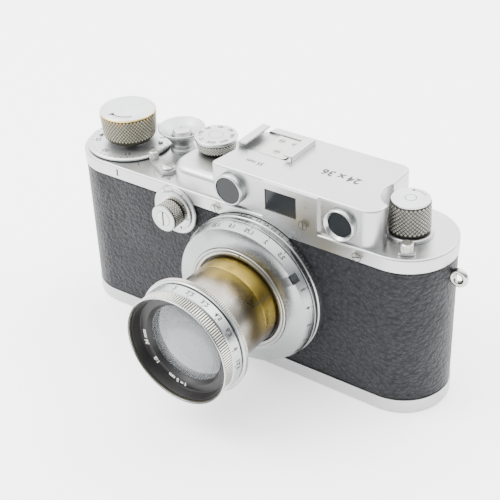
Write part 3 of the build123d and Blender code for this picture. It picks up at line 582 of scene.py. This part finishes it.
# This black fills the engraving, and it is also painted shade in screw slots, round screw heads and in the
# lens carrier's grooves.
paint = finish("engraving_and_shade_black", (0.02, 0.02, 0.02), 0.0, 0.6)
grain(paint, place(paint), 4000, 0.00001)
white_paint = finish("engraving_white", (0.75, 0.74, 0.70), 0.0, 0.5)
grain(white_paint, place(white_paint), 4000, 0.00001)
front_haze = finish("hazy_front_glass", (0.44, 0.465, 0.475), 0.0, 0.08, IOR=1.5)
haze_centre = LENS.origin + Vector((2.2, 0, -1.2)) * MM
wisps = node(front_haze, "TexNoise", Vector=place(front_haze), Scale=260, Detail=5).outputs[0]
spread = distance(front_haze, haze_centre, (1, 0, 1))
reach = number(front_haze, "ADD", spread, number(front_haze, "MULTIPLY", wisps, 0.0004))
share = rising(front_haze, reach, 0.0, 13 * MM)
clear = ramp(front_haze, share, (0.0, 0.62), (0.58, 0.66), (0.66, 0.80), (1.0, 0.9))
into(front_haze, "Transmission Weight", clear)
fogged_glass = finish("fogged_glass", (0.62, 0.65, 0.66), 0.0, 0.2, Transmission_Weight=0.25, IOR=1.5)
blotches(fogged_glass, place(fogged_glass), 150, 0.12, 0.3)
# Painted shade: window glass that is opaque and near black, for the dark inside of the camera behind it.
shaded_window_glass = finish("window_glass", (0.016, 0.018, 0.02), 0.0, 0.08, Specular_IOR_Level=0.2)
blotches(shaded_window_glass, place(shaded_window_glass), 200, 0.05, 0.14)
brass = finish("turned_brass", BRASS, 1.0, 0.28)
grain(brass, place(brass), 1800, 0.000008)
alloy = finish("cast_alloy", (0.55, 0.55, 0.56), 1.0, 0.5)
grain(alloy, place(alloy), 1400, 0.00003)
cloth = finish("curtain_cloth", (0.015, 0.015, 0.015), 0.0, 0.9, Sheen_Weight=0.3)
grain(cloth, place(cloth), 3500, 0.00004)
print("all finishes are ready:", len(bpy.data.materials))

# %% [markdown]
# ## CAD parts that keep their shape
# Pressed and cast parts come straight from the CAD model, because their shape is right, and only need
# their finish.

# %% Dress the CAD parts
dress(chrome, "top_plate", "finder_housing", "base_plate", "accessory_shoe", "dioptre_lever",
      "clutch_lever", "base_key", "key_handle", "focus_lever", "infinity_button")
dress(screw_steel, "cover_screws")
dress(polished, "strap_lugs", "shoe_spring", "clutch_screw", "slow_dial_screw", "wind_shaft",
      "rewind_shaft", "dial_bush", "rangefinder_arm")
dress(brass, "tripod_bush", "film_sprocket", "shutter_drum", "curtain_roller")
dress(alloy, "body_shell", "shutter_crate", "take_up_spool", "rangefinder_block")
# Painted shade: the guide sleeve is black for the shade in the gap between the tube and the carrier.
dress(enamel, "guide_sleeve", "adjuster_plug", "pressure_plate",
      *[f"iris_blade_{i}" for i in range(1, 7)])
# Painted shade: the window glasses are opaque near black for the dark inside of the camera.
dress(shaded_window_glass, "window_glasses", "viewfinder_glass")
dress(cloth, "shutter_curtains")
print("CAD parts have their finishes")

# %% [markdown]
# ## The covering
# One strip of vulcanite runs right round the body. It is a grid whose width is bent along the body's
# round-ended outline, of which one half is the other turned about. Two noises push it out: a slow one
# for the shrinkage of old rubber and a quick one for the pebbles. It could be a plain sheet with bump
# alone, but the silhouette would then be a ruler-straight line. The parts behind the lens ring and the
# slow-speed dial are cut away.

# %% Wrap the covering round the body
GRID = 0.6
low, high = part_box("body_covering")
end_radius = high.y
straight = high.x - end_radius
height = high.z - low.z
path = 4 * straight + 2 * pi * end_radius


def along_body(walked):
    """Point and outward direction on the body's outline, from the middle of the front, in metres."""
    half = path / 2
    side = 1 if walked % path < half else -1
    walked %= half
    if walked < straight:
        spot, out = Vector((walked, -end_radius, 0)), Vector((0, -1, 0))
    elif walked < straight + pi * end_radius:
        turn = (walked - straight) / end_radius - pi / 2
        out = Vector((cos(turn), sin(turn), 0))
        spot = Vector((straight, 0, 0)) + out * end_radius
    else:
        spot, out = Vector((half - walked, end_radius, 0)), Vector((0, 1, 0))
    return spot * side, out * side


PEBBLE, SWELL, TUCK = 0.05, 0.04, 0.10
EDGE_BAND = 0.6
sheet = bmesh.new()
columns, rows = round(path / MM / GRID), round(height / MM / GRID)
bmesh.ops.create_grid(sheet, x_segments=columns, y_segments=rows, size=0.5)
for vert in sheet.verts:
    spot, out = along_body((vert.co.x + 0.5) * path)
    spot.z = low.z + (vert.co.y + 0.5) * height
    edge = min(spot.z - low.z, high.z - spot.z) / MM
    relief = noise.noise(spot * 900) * PEBBLE + noise.noise(spot * 60) * SWELL
    crown = min(edge, EDGE_BAND) / EDGE_BAND
    vert.co = spot + out * (relief * crown - TUCK * (1 - crown)) * MM
bmesh.ops.remove_doubles(sheet, verts=sheet.verts, dist=0.00005)
holes = ((LENS, 22.0 * MM), (SLOW, 3.8 * MM))
hidden = [
    v for v in sheet.verts
    if v.co.y < 0 and any((v.co.xz - axis.origin.xz).length < radius for axis, radius in holes)
]
bmesh.ops.delete(sheet, geom=hidden, context="VERTS")
outward(sheet)
bmesh.ops.solidify(sheet, geom=sheet.faces[:], thickness=0.5 * MM)
piece("covering", [sheet], "body", "black_covering", covering_finish, "body_covering", angle=180)

# %% [markdown]
# ## The winding knob
# A tall knob, wider at the top, with a diamond knurl that the hand turns. Its top is slightly dished and
# spun bright. The knurl is its own piece, because it wears to brass while the top stays chrome. A thin
# rim of bare brass shows between the two.

# %% Winding knob, arrow and index
def knob(name, axis, band, rim, steps, rows, side_finish, top_finish, body):
    """A knurled side and a spun cap; rim is the width and depth of the cap's raised edge."""
    (bottom, top), radius, bore = heights(name), half_width(name), 2.1
    (low, low_radius), (high, high_radius) = band
    neck, shelf, face, dish = low_radius - 1.05, high + 0.1, top - rim[1], radius - rim[0]
    side = turned(
        axis,
        outline((bottom, bore), (bottom, neck), (low - 0.4, neck), (low - 0.3, low_radius - 0.15), *band,
                (shelf, high_radius - 0.25), (shelf, bore), rows=(*band, rows)),
        steps=steps, bevel=0, band=band, depth=KNOB_DEPTH,
    )
    cap = turned(
        axis,
        outline((shelf, bore), (shelf, high_radius - 0.05), (top - 0.2, high_radius - 0.1),
                (top, high_radius - 0.4), (top, dish), (face, dish - 0.5), (face, 0), (shelf, 0)),
        bevel=0.06,
    )
    piece(name + "_side", [side], body, "satin_chrome", side_finish, name, angle=20)
    piece(name + "_cap", [cap], body, "satin_chrome", top_finish, name)
    return face


wind_face = knob("wind_knob", WIND, WIND_BAND, (0.9, 0.2), 100, 12, worn, wind_top, "wind")
rim_low = heights("wind_knob")[1] - 0.8
rim_high = rim_low + 0.6
rim = turned(
    WIND,
    outline((rim_low, 8.4), (rim_low, 9.12), (rim_low + 0.4, 9.1), (rim_high, 8.85), (rim_high, 8.4)),
    bevel=0.06,
)
piece("wind_knob_rim", [rim], "wind", "satin_chrome", brass)
arrow = [arc_mark(WIND, wind_face, 5.85, 6.35, 256, 66), arrow_head(WIND, wind_face, 6.1, 254, 1.3)]
painted("wind_arrow", arrow, "wind")

# %% [markdown]
# ## Rewind knob
# It is the winding knob's smaller sister on the other end, taller for its width, with straighter
# sides. The same helper makes it from its own box.

# %% Rewind knob
face = knob("rewind_knob", REWIND, REWIND_BAND, (1.1, 0.1), 60, 14, rewind_knurl, rewind_top, "rewind_knob")
arrow = [
    arc_mark(REWIND, face, 4.05, 4.2, 45, 62),
    arc_mark(REWIND, face, 4.45, 4.6, 45, 62),
    arrow_head(REWIND, face, 4.3, 108, 0.75),
    arc_mark(REWIND, face, 1.55, 1.75, 0, 360, 36),
]
painted("rewind_arrow", arrow, "rewind_knob")

# %% [markdown]
# ## Frame counter
# A thin disc under the winding knob, with a line for each frame and a figure at every fifth. The
# lines are one small bar each, bent to the disc by the same helper as the figures.

# %% Counter disc and its scale
disc_top, disc_radius = 56.5, half_width("counter_dial")
disc = turned(
    WIND,
    outline((55.5, 2.3), (55.5, disc_radius - 0.3), (55.8, disc_radius), (disc_top - 0.35, disc_radius),
            (disc_top, disc_radius - 0.6), (disc_top, 2.3)),
    bevel=0.08,
)
pin_profile = outline((disc_top, 0), (disc_top, 0.8), (57.1, 0.8), (57.2, 0.5), (57.2, 0))
pins = [turned(upright(*WIND.at(0, 10.7, radians(angle)).xy), pin_profile, steps=24) for angle in (16, 196)]
counter_chrome = satin_chrome("counter_chrome", (0.5, 0.51, 0.51), 0.42)
piece("counter_disc", [disc, *pins], "counter", "satin_chrome", counter_chrome, "counter_dial")
marks = []
FRAMES, FIGURE_EVERY = 40, 5
for frame_number in range(FRAMES):
    angle = 80 - frame_number * 360 / FRAMES
    with_figure = frame_number % FIGURE_EVERY == 0
    size = 1.6 if with_figure else 1.0
    marks.append(bend(flat_mark(0.22, size), WIND, disc_top, disc_radius - 0.7 - size / 2, angle))
    if with_figure:
        figure = flat_text(str(frame_number), 2.3)
        marks.append(bend(figure, WIND, disc_top, disc_radius - 3.3, angle, (0, -1), 1))
painted("counter_scale", marks, "counter")

# %% [markdown]
# ## Shutter release
# A small plunger in a dished collar, so that a thumb can't press it by mistake. The collar's dish is
# one spun wall, thin at the rim.

# %% Release collar and button
rim_radius, (foot, rim_top) = half_width("release_collar"), heights("release_collar")
collar = turned(
    RELEASE,
    outline((foot, 1.65), (foot, 4.0), (foot + 0.7, 4.0), (foot + 1.2, 3.55), (foot + 2.6, 3.6),
            (foot + 4.6, 4.9), (rim_top - 0.6, rim_radius - 0.15), (rim_top - 0.25, rim_radius),
            (rim_top, rim_radius - 0.2), (rim_top - 0.15, rim_radius - 0.5), (rim_top - 1.6, 5.2),
            (rim_top - 2.6, 3.5), (rim_top - 2.7, 3.15), (foot + 2.1, 3.15), (foot + 2.1, 1.65)),
    bevel=0.1,
)
# Painted shade: the dish takes a darker copy of the spun chrome of the knob tops.
shaded_dish_finish = spun("spun_release", RELEASE, (0.40, 0.41, 0.41), 0.28)
piece("release_dish", [collar], "body", "satin_chrome", shaded_dish_finish, "release_collar", angle=50)
stem = heights("release_button")[0]
button = turned(
    RELEASE,
    outline((stem, 0), (stem, 1.5), (59.6, 1.5), (59.6, 3.05), (61.5, 3.05), (62.1, 2.7), (62.4, 1.9),
            (62.5, 1.1), (62.1, 0.9), (62.1, 0)),
    bevel=0.1,
)
piece("release_plunger", [button], "release", "satin_chrome", chrome, "release_button", angle=50)

# %% [markdown]
# ## Speed dial
# The dial is lifted, turned and dropped, so its cap has a fine knurl to pull on, and the speeds are cut
# round its top.

# %% Speed dial and its figures
cap_radius, (skirt, cap_top) = half_width("speed_dial"), heights("speed_dial")
grip = turned(
    DIAL,
    outline((skirt, 2.65), (skirt, 5.0), (62.6, 5.2), (62.7, 5.8), *DIAL_BAND, (65.9, 6.2), (65.9, 2.65),
            rows=(*DIAL_BAND, 7)),
    steps=84, bevel=0, band=DIAL_BAND, depth=DIAL_DEPTH,
)
piece("speed_dial_grip", [grip], "speed_dial", "satin_chrome", dial_knurl, "speed_dial", angle=20)
dial = turned(
    DIAL,
    outline((65.9, 0), (65.9, cap_radius - 0.1), (66.1, cap_radius), (cap_top - 0.2, cap_radius),
            (cap_top, cap_radius - 0.25), (cap_top, 0)),
    bevel=0.05,
)
dial_chrome = satin_chrome("dial_chrome", roughness=0.3)
piece("speed_dial_cap", [dial], "speed_dial", "satin_chrome", dial_chrome, "speed_dial")
SPEEDS = ("20-1", "30", "40", "60", "100", "200", "500", "Z")
figures = [
    bend(flat_text(speed, 1.9), DIAL, cap_top, cap_radius - 1.5, 200 - i * 360 / len(SPEEDS), (0, -1), 1)
    for i, speed in enumerate(SPEEDS)
]
figures.append(arc_mark(DIAL, cap_top, 2.3, 2.42, 0, 360, 48))
painted("speed_figures", figures, "speed_dial")

# %% [markdown]
# ## Slow-speed dial
# On the front, a disc with figures round a knurled knob. The knob turns and the figures on the disc's
# flange turn with it past a dash on the plate.

# %% Slow-speed plate, knob and figures
plate_radius = half_width("slow_dial_plate")
plate = turned(
    SLOW,
    outline((13.9, 1.55), (13.9, 3.8), (15.05, 3.8), (15.05, plate_radius), (15.6, plate_radius),
            (15.9, plate_radius - 0.4), (15.9, 1.55)),
    bevel=0.08,
)
piece("slow_speed_plate", [plate], "body", "satin_chrome", chrome, "slow_dial_plate")
slow_knob = turned(
    SLOW,
    outline((13.1, 0), (13.1, 1.5), (16.0, 1.5), (16.0, 6.7), (16.25, 6.7), (16.6, 6.3), (16.7, 4.2),
            *SLOW_BAND, (21.2, 4.3), (21.2, 2.5), (21.1, 2.5), (21.1, 0), rows=(*SLOW_BAND, 10)),
    steps=66, bevel=0, band=SLOW_BAND, depth=SLOW_DEPTH,
)
piece("slow_speed_knob", [slow_knob], "slow_dial", "satin_chrome", slow_knurl, "slow_speed_dial", angle=22)
face_profiles = (
    outline((21.2, 2.5), (21.2, 4.4), (21.45, 4.45), (21.6, 4.2), (21.6, 2.5)),
    outline((16.3, 4.3), (16.3, 6.72), (16.5, 6.72), (16.65, 6.4), (16.65, 4.3)),
)
slow_faces = [turned(SLOW, profile, bevel=0.05) for profile in face_profiles]
piece("slow_speed_faces", slow_faces, "slow_dial", "satin_chrome", ring_chrome)
# Painted shade: a black bar in the slot of the screw at the knob's centre.
slot_shade_mark = on_front(flat_mark(0.55, 4.4), SLOW.origin.x / MM, 21.65, SLOW.origin.z / MM)
painted("slow_screw_slot_shade", [slot_shade_mark], "slow_dial")
SLOW_SPEEDS = ("1", "2", "4", "8", "20")
marks = [bend(flat_text(speed, 1.7), SLOW, 16.65, 5.5, 40 - i * 50) for i, speed in enumerate(SLOW_SPEEDS)]
painted("slow_speed_figures", marks, "slow_dial")
dashes = [bend(flat_mark(0.28, 0.9), SLOW, 15.9, 7.3, angle) for angle in (90, 62, 118)]
painted("slow_speed_index", dashes, "body")

# %% [markdown]
# ## Levers on the deck
# The clutch lever and the dioptre lever keep their CAD plates. Each gets a knurled sleeve on its post,
# where a fingertip pushes it.

# %% Knurled posts
def post(name, axis, low, high, radius, body):
    band = ((low, radius), (high, radius))
    crown = high + 0.25
    sleeve = turned(
        axis,
        outline((low, 0.3), *band, (crown, radius - 0.3), (crown, 0), (low, 0), rows=(*band, 7)),
        steps=36, bevel=0, band=band, depth=0.09,
    )
    piece(name, [sleeve], body, "satin_chrome", plain_knurl, angle=20)


CLUTCH_POST = upright(-36.39 * MM, -6.03 * MM)
DIOPTRE_POST = upright(56.7 * MM, -9.88 * MM)
post("clutch_post", CLUTCH_POST, 56.7, 58.85, 1.55, "clutch")
post("dioptre_post", DIOPTRE_POST, 56.2, 58.5, 1.8, "dioptre")

# %% [markdown]
# ## Windows and eyepieces
# The two rangefinder windows sit in spun rings, one a deep cylinder and one a shallow cone, and the
# eyepieces at the back are black.

# %% Window rings and eyepieces
RING_RADIUS, CUP_RADIUS = 5.05, 4.0


def pair(name, radius):
    """Axes of two like rings that are one CAD part, from the left and right ends of its box."""
    low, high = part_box(name)
    return [facing(x, middle(name).z) for x in (low.x + radius * MM, high.x - radius * MM)]


ring_profiles = (
    outline((12.95, 3.6), (12.95, RING_RADIUS), (15.9, RING_RADIUS), (16.3, 4.7), (16.3, 4.3), (15.2, 4.22),
            (15.2, 3.6)),
    outline((12.95, 3.2), (12.95, RING_RADIUS), (15.4, RING_RADIUS), (15.9, 4.75), (15.9, 4.55),
            (14.9, 3.8), (14.1, 3.72), (14.1, 3.2)),
)
ring_axes = pair("window_bezels", RING_RADIUS)
rings = [turned(axis, profile, steps=72, bevel=0.1) for axis, profile in zip(ring_axes, ring_profiles)]
piece("window_rings", rings, "body", "satin_chrome", ring_chrome, "window_bezels")
cup_profile = outline((-13.6, 2.4), (-13.6, 3.15), (-14.6, 3.15), (-14.6, CUP_RADIUS), (-15.7, CUP_RADIUS),
                      (-16.3, 3.5), (-16.3, 3.0), (-15.2, 2.4))
cups = [turned(axis, cup_profile, steps=72, bevel=0.1) for axis in pair("eyepieces", CUP_RADIUS)]
piece("eyepiece_cups", cups, "body", "black_enamel", enamel, "eyepieces")

# %% [markdown]
# ## Lens mount, base and focusing ring
# Three chromed rings stand one in front of the other: the mount that is screwed to the body, the
# fixed ring with the depth scale, and the focusing ring with a conical face that carries the
# distances. The focusing ring has a notch cut in its rim, which a Boolean takes out.

# %% Fixed rings of the lens
RING_STEPS = 192
mount = turned(
    LENS, outline((13.9, 19.5), (13.9, 24.4), (17.0, 24.4), (17.3, 24.1), (17.3, 19.5)),
    steps=RING_STEPS, bevel=0.1,
)
piece("mount_ring", [mount], "body", "satin_chrome", ring_chrome, "lens_mount")
fixed = turned(
    LENS,
    outline((13.2, 18.35), (13.2, 19.42), (17.3, 19.42), (17.3, 24.0), (17.45, 24.15), (18.9, 24.15),
            (19.0, 24.0), (19.0, 18.35)),
    steps=RING_STEPS, bevel=0.06,
)
piece("depth_ring", [fixed], "body", "satin_chrome", ring_chrome, "lens_base")


def cut(obj, cutter):
    """Take a bmesh out of a piece, for good."""
    mesh = bpy.data.meshes.new("cutter")
    cutter.to_mesh(mesh)
    cutter.free()
    tool = bpy.data.objects.new("cutter", mesh)
    bpy.context.scene.collection.objects.link(tool)
    boolean = obj.modifiers.new("notch", "BOOLEAN")
    boolean.operation, boolean.object, boolean.solver = "DIFFERENCE", tool, "EXACT"
    bpy.context.view_layer.update()
    result = bpy.data.meshes.new_from_object(obj.evaluated_get(bpy.context.evaluated_depsgraph_get()))
    obj.modifiers.clear()
    old, obj.data = obj.data, result
    bpy.data.meshes.remove(old)
    bpy.data.objects.remove(tool)


focus = turned(
    LENS,
    outline((14.3, 17.3), (14.3, 18.25), (19.1, 18.25), (19.1, 23.95), (19.25, 24.1), (19.6, 24.0),
            (22.6, 22.85), (22.85, 22.4), (24.3, 17.75), (24.3, 17.3)),
    steps=RING_STEPS, bevel=0.08,
)
focus_ring = piece("focusing_ring", [focus], "focus", "satin_chrome", ring_face, "focus_ring")
NOTCH_ANGLE = 34.5
notch = bmesh.new()
bmesh.ops.create_cube(notch, size=1)
bmesh.ops.scale(notch, vec=(2.6 * MM, 4.2 * MM, 3.0 * MM), verts=notch.verts)
slanted = Matrix.Rotation(-radians(NOTCH_ANGLE), 3, "Y")
bmesh.ops.rotate(notch, cent=(0, 0, 0), matrix=slanted, verts=notch.verts)
bmesh.ops.translate(notch, vec=LENS.at(22.9, 23.4, radians(NOTCH_ANGLE)), verts=notch.verts)
cut(focus_ring, notch)
print("focusing ring faces after the notch:", len(focus_ring.data.polygons))

# %% [markdown]
# ## Carrier, tube and lens head
# The carrier slides out as the lens focuses; the tube slides in the carrier when the lens is put away.
# The head has a fine-ribbed flange to pull by, a stop scale, and a ribbed ring in front that turns.

# %% Carrier and tube
carrier_face = 24.7
carrier = turned(
    LENS,
    outline((11.5, 15.05), (11.5, 17.2), (24.5, 17.2), (carrier_face, 17.0), (carrier_face, 16.35),
            (24.5, 16.2), (carrier_face, 16.05), (carrier_face, 15.25), (24.5, 15.05)),
    steps=RING_STEPS, bevel=0.06,
)
collar_chrome = satin_chrome("collar_chrome", (0.34, 0.34, 0.33), 0.28)
piece("carrier_collar", [carrier], "carrier", "satin_chrome", collar_chrome, "lens_carrier")
groove_face = carrier_face + 0.01
# Painted shade: two thin black rings stand for the shade in the carrier's grooves; the short bar is a mark.
grooves = [
    arc_mark(LENS, groove_face, 15.3, 15.42, 0, 360, 96),
    arc_mark(LENS, groove_face, 16.5, 16.58, 0, 360, 96),
    bend(flat_mark(0.3, 1.5), LENS, groove_face, 16.1, 85),
]
painted("collar_groove_shade_and_mark", grooves, "carrier")
tube_low, tube_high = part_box("lens_tube")
tube_radius = half_width("lens_tube")
tube_back, tube_front = -tube_high.y / MM, -tube_low.y / MM
tube = turned(
    LENS,
    outline((tube_back, 13.25), (tube_back, tube_radius), (30.4, tube_radius), (30.45, tube_radius - 0.06),
            (30.6, tube_radius - 0.06), (30.65, tube_radius), (tube_front, tube_radius),
            (tube_front, 13.25)),
    steps=160, bevel=0.03,
)
piece("collapsing_tube", [tube], "tube", "aged_nickel", nickel, "lens_tube")
tube_lines = [
    bend(flat_mark(0.22, 7.5), LENS, 29.5, tube_radius, 30, rise=(1, 0)),
    bend(flat_mark(1.6, 0.25), LENS, 26.6, tube_radius, 30, rise=(1, 0)),
]
painted("tube_lines", tube_lines, "tube")

# %% Lens head with its ribs
head_back = -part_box("lens_head")[1].y / MM
flange = turned(
    LENS,
    outline((head_back, 13.25), (head_back, 18.3), (head_back + 0.25, 18.6), *FLANGE_BAND,
            (head_back + 1.6, 18.5), (head_back + 2.0, 18.3), (head_back + 2.1, 17.4),
            (head_back + 2.3, 17.4), (head_back + 2.45, 17.95), (head_back + 5.6, 17.7),
            (head_back + 5.9, 17.35), (head_back + 5.9, 16.65), (head_back + 1.0, 16.65),
            (head_back + 1.0, 13.25), rows=(*FLANGE_BAND, 2)),
    steps=720, bevel=0, band=FLANGE_BAND, depth=FLANGE_DEPTH, ribs=180,
)
head = piece("lens_head_rings", [flange], "tube", "satin_chrome", ring_chrome, "lens_head", angle=30)
head.data.materials.append(flange_ribs)
for face in head.data.polygons:
    ribbed = FLANGE_BAND[0][0] < -face.center.y / MM < FLANGE_BAND[1][0]
    face.material_index = 1 if ribbed and (face.center.xz - LENS.origin.xz).length > 18.4 * MM else 0
stop_ring = turned(
    LENS,
    outline((51.0, 16.75), (51.0, 17.3), (51.25, 17.45), *STOP_BAND, (54.55, 17.45), (54.75, 17.5),
            (55.0, 17.35), (55.0, 17.05), (54.5, 16.75), rows=(*STOP_BAND, 2)),
    steps=576, bevel=0, band=STOP_BAND, depth=STOP_DEPTH, ribs=144,
)
piece("stop_ring", [stop_ring], "aperture", "satin_chrome", stop_ribs, "aperture_ring", angle=30)
front_rim = turned(
    LENS, outline((54.55, 16.9), (54.55, 17.62), (54.8, 17.7), (55.0, 17.5), (55.0, 17.02)),
    steps=RING_STEPS, bevel=0.04,
)
piece("front_rim", [front_rim], "aperture", "satin_chrome", ring_chrome)

# %% [markdown]
# ## Front cell and glass
# A black bevelled ring holds the front element, which bulges out. A second, foggier group stands
# behind it, so that the eye sees one round within another.

# %% Bevel ring and glasses
cell = turned(
    LENS,
    outline((46.0, 12.6), (46.0, 16.6), (54.2, 16.6), (54.2, 16.4), (51.25, 15.95), (51.1, 15.8),
            (51.1, 13.5), (50.2, 12.9), (49.9, 12.6)),
    steps=160, bevel=0.05,
)
piece("front_bevel", [cell], "tube", "black_enamel", enamel, "front_cell")


def dome(radius, rim, rise, count=10):
    """Points of a shallow spherical cap from its rim in to the axis."""
    ball = (radius * radius + rise * rise) / (2 * rise)
    reach = [radius * (1 - i / count) for i in range(count + 1)]
    return [(rim + (ball * ball - r * r) ** 0.5 - (ball - rise), r) for r in reach]


front = turned(LENS, [(46.4, 0), (46.4, 12.5), *dome(12.5, 49.9, 2.3)], steps=160, bevel=0)
piece("front_element", [front], "tube", "optical_glass", front_haze, "front_glass", angle=40)
rear = turned(LENS, [(34.0, 0), (34.0, 13.2), *dome(13.2, 40.0, 1.5)], steps=128, bevel=0)
piece("rear_element", [rear], "tube", "optical_glass", fogged_glass, "rear_glass", angle=40)

# %% [markdown]
# ## Scales of the lens
# Stops and distances are plain figures, cut and filled with black. Each row is one list and one loop,
# and the slope of the ring decides how the figures lie.

# %% Figures on the lens
STOPS = ("2", "2.2", "3.2", "4.5", "6.3", "9", "12.5")
stop_marks = []
for i, stop in enumerate(STOPS):
    angle = 100 - i * 17
    stop_marks.append(bend(flat_text(stop, 2.1), LENS, head_back + 3.8, 17.86, angle, rise=(1, -0.08)))
    stop_marks.append(bend(flat_mark(0.2, 0.6), LENS, head_back + 5.2, 17.77, angle, rise=(1, -0.08)))
painted("stop_figures", stop_marks, "tube")

depth_marks = [bend(flat_mark(0.2, 1.5), LENS, 18.2, 24.15, 90, rise=(1, 0))]
for i, stop in enumerate(STOPS[1:]):
    for side_of_index in (-1, 1):
        angle = 60 + side_of_index * (4 + i * 6.5)
        depth_marks.append(bend(flat_text(stop, 1.5), LENS, 16.2, 24.4, angle, rise=(-1, 0), turn=1))
        depth_marks.append(bend(flat_mark(0.2, 1.0), LENS, 18.35, 24.15, angle, rise=(1, 0)))
painted("depth_figures", depth_marks, "body")

DISTANCES = ("1", "1.25", "1.5", "1.75", "2", "2.5", "3", "4", "5", "7", "10", "20")
CONE_BACK, CONE_FRONT = (-3.0, 1.15), (3.0, -1.15)
distance_marks = []
for i, metres in enumerate(DISTANCES):
    angle = 128 - 15 * i - (14 if i > 5 else 0)
    distance_marks.append(bend(flat_text(metres, 1.9), LENS, 21.2, 23.42, angle, rise=CONE_BACK, turn=1))
    distance_marks.append(bend(flat_mark(0.22, 0.7), LENS, 19.75, 23.96, angle, rise=CONE_FRONT))
painted("distance_figures", distance_marks, "focus")

ring_text = bend(flat_text("f = 5 cm        1:2        36 mm", 1.9), LENS, 51.12, 14.6, 225)
piece("bevel_lettering", [ring_text], "tube", "black_enamel", white_paint)

# %% [markdown]
# ## Marks on the deck
# Short index lines, the two letters of the clutch lever and a plain format figure on the housing. The
# maker's script is left out.

# %% Index lines and letters
deck = 55.2
roof = heights("finder_housing")[1]
clutch_x, clutch_y = middle("clutch_screw").xy / MM
deck_marks = [
    bend(flat_mark(0.25, 2.6), WIND, deck, 15.6, -41),
    on_deck(flat_text("R", 1.8), clutch_x + 0.7, clutch_y - 3.6, deck),
    on_deck(flat_text("A", 1.8), clutch_x + 3.1, clutch_y - 3.6, deck),
    on_deck(flat_text("24 x 36", 4.2), 30.0, -1.0, roof, 180),
    on_deck(flat_text("35 mm", 2.2), 4.0, -7.2, roof, 180),
    arc_mark(upright(clutch_x * MM, clutch_y * MM), deck, 4.4, 4.55, 200, 60),
]
painted("deck_marks", deck_marks, "body")
painted("band_mark", [on_front(flat_mark(0.7, 2.4), -44.6, 15, 53.0)], "body")

# %% Painted shade in the screw slots and round the screw heads
# Each screw is its x, its z and the lean of its slot. PLAIN is an axis whose points stay in millimetres.
SCREWS = ((-5.0, 53.1, 20), (44.4, 53.1, -75), (26.6, 57.6, 5))
PLAIN = Axis((0, 0, 0), (0, 0, 1 / MM), (1 / MM, 0, 0), (0, 1 / MM, 0))
slots = []
# Painted shade: each screw gets a black bar in its slot and a black ring round its head.
for x, z, lean in SCREWS:
    rim = turned(PLAIN, [(0, 1.28), (FILM, 1.28), (FILM, 1.5), (0, 1.5)], steps=32, bevel=0)
    slots.append(on_front(lean_over(flat_mark(0.42, 2.4), lean), x, 16.36, z))
    slots.append(on_front(rim, x, 16.31, z))
painted("screw_slot_shade", slots, "body")

# %% [markdown]
# ## Floor, light and camera
# The camera stands on white paper. The sky is a bright dome that is strongest above and behind on the
# left, so that chrome which looks up mirrors light and chrome which looks forward mirrors the paper. The
# view is through a long lens that looks down on the rewind end.

# %% Floor, lights and view
FLOOR = 4.0
floor_mesh = bmesh.new()
bmesh.ops.create_grid(floor_mesh, x_segments=1, y_segments=1, size=FLOOR)
floor_data = bpy.data.meshes.new("floor")
floor_mesh.to_mesh(floor_data)
floor_mesh.free()
floor = bpy.data.objects.new("floor", floor_data)
bpy.context.scene.collection.objects.link(floor)
paper = finish("paper", (0.95,) * 3, 0.0, 0.9, Emission_Color=(1, 1, 1, 1), Emission_Strength=0.9)
grain(paper, place(paper), 800, 0.00002)
floor_data.materials.append(paper)

world = bpy.data.worlds.new("studio")
bpy.context.scene.world = world
world.use_nodes = True
WINDOW_SIDE = (-0.42, 0.37, 0.83)
ways = world.node_tree.nodes.new("ShaderNodeTexCoord")
tilt = world.node_tree.nodes.new("ShaderNodeVectorMath")
tilt.operation = "DOT_PRODUCT"
tilt.inputs[1].default_value = WINDOW_SIDE
dome_light = world.node_tree.nodes.new("ShaderNodeValToRGB")
SKY = ((0.0, (0.10, 0.105, 0.11, 1)), (0.75, (1, 1, 1, 1)))
for element, (position, colour) in zip(dome_light.color_ramp.elements, SKY):
    element.position, element.color = position, colour
background = world.node_tree.nodes["Background"]
world.node_tree.links.new(ways.outputs["Generated"], tilt.inputs[0])
world.node_tree.links.new(tilt.outputs["Value"], dome_light.inputs[0])
world.node_tree.links.new(dome_light.outputs[0], background.inputs["Color"])
background.inputs["Strength"].default_value = 6.0


def softbox(name, spot, aim, size, power):
    """Square area light that looks at a point."""
    light = bpy.data.lights.new(name, "AREA")
    light.size, light.energy = size, power
    obj = bpy.data.objects.new(name, light)
    obj.location = spot
    obj.rotation_euler = (Vector(aim) - Vector(spot)).to_track_quat("-Z", "Y").to_euler()
    bpy.context.scene.collection.objects.link(obj)


softbox("key_light", (-0.45, -0.35, 0.75), (0, 0, 0.03), 0.5, 7)
softbox("back_light", (0.3, 0.6, 0.6), (0, 0, 0.03), 0.6, 4)

YAW, RISE, ROLL = radians(36.67278), radians(33.46396), radians(-2.49817)
back = Vector((sin(YAW) * cos(RISE), -cos(YAW) * cos(RISE), sin(RISE)))
right = (-back).cross(Vector((0, 0, 1))).normalized()
up = right.cross(-back)
across = right * cos(ROLL) + up * sin(ROLL)
upward = up * cos(ROLL) - right * sin(ROLL)
view = bpy.data.objects.new("view", bpy.data.cameras.new("view"))
view.data.sensor_width, view.data.lens = 36.0, 84.32
view.data.clip_start, view.data.clip_end = 0.01, 10
matrix = Matrix((across, upward, back)).transposed().to_4x4()
matrix.translation = Vector((182.5015, -251.2193, 236.1665)) * MM
view.matrix_world = matrix
bpy.context.scene.collection.objects.link(view)
bpy.context.scene.camera = view
print("view set")
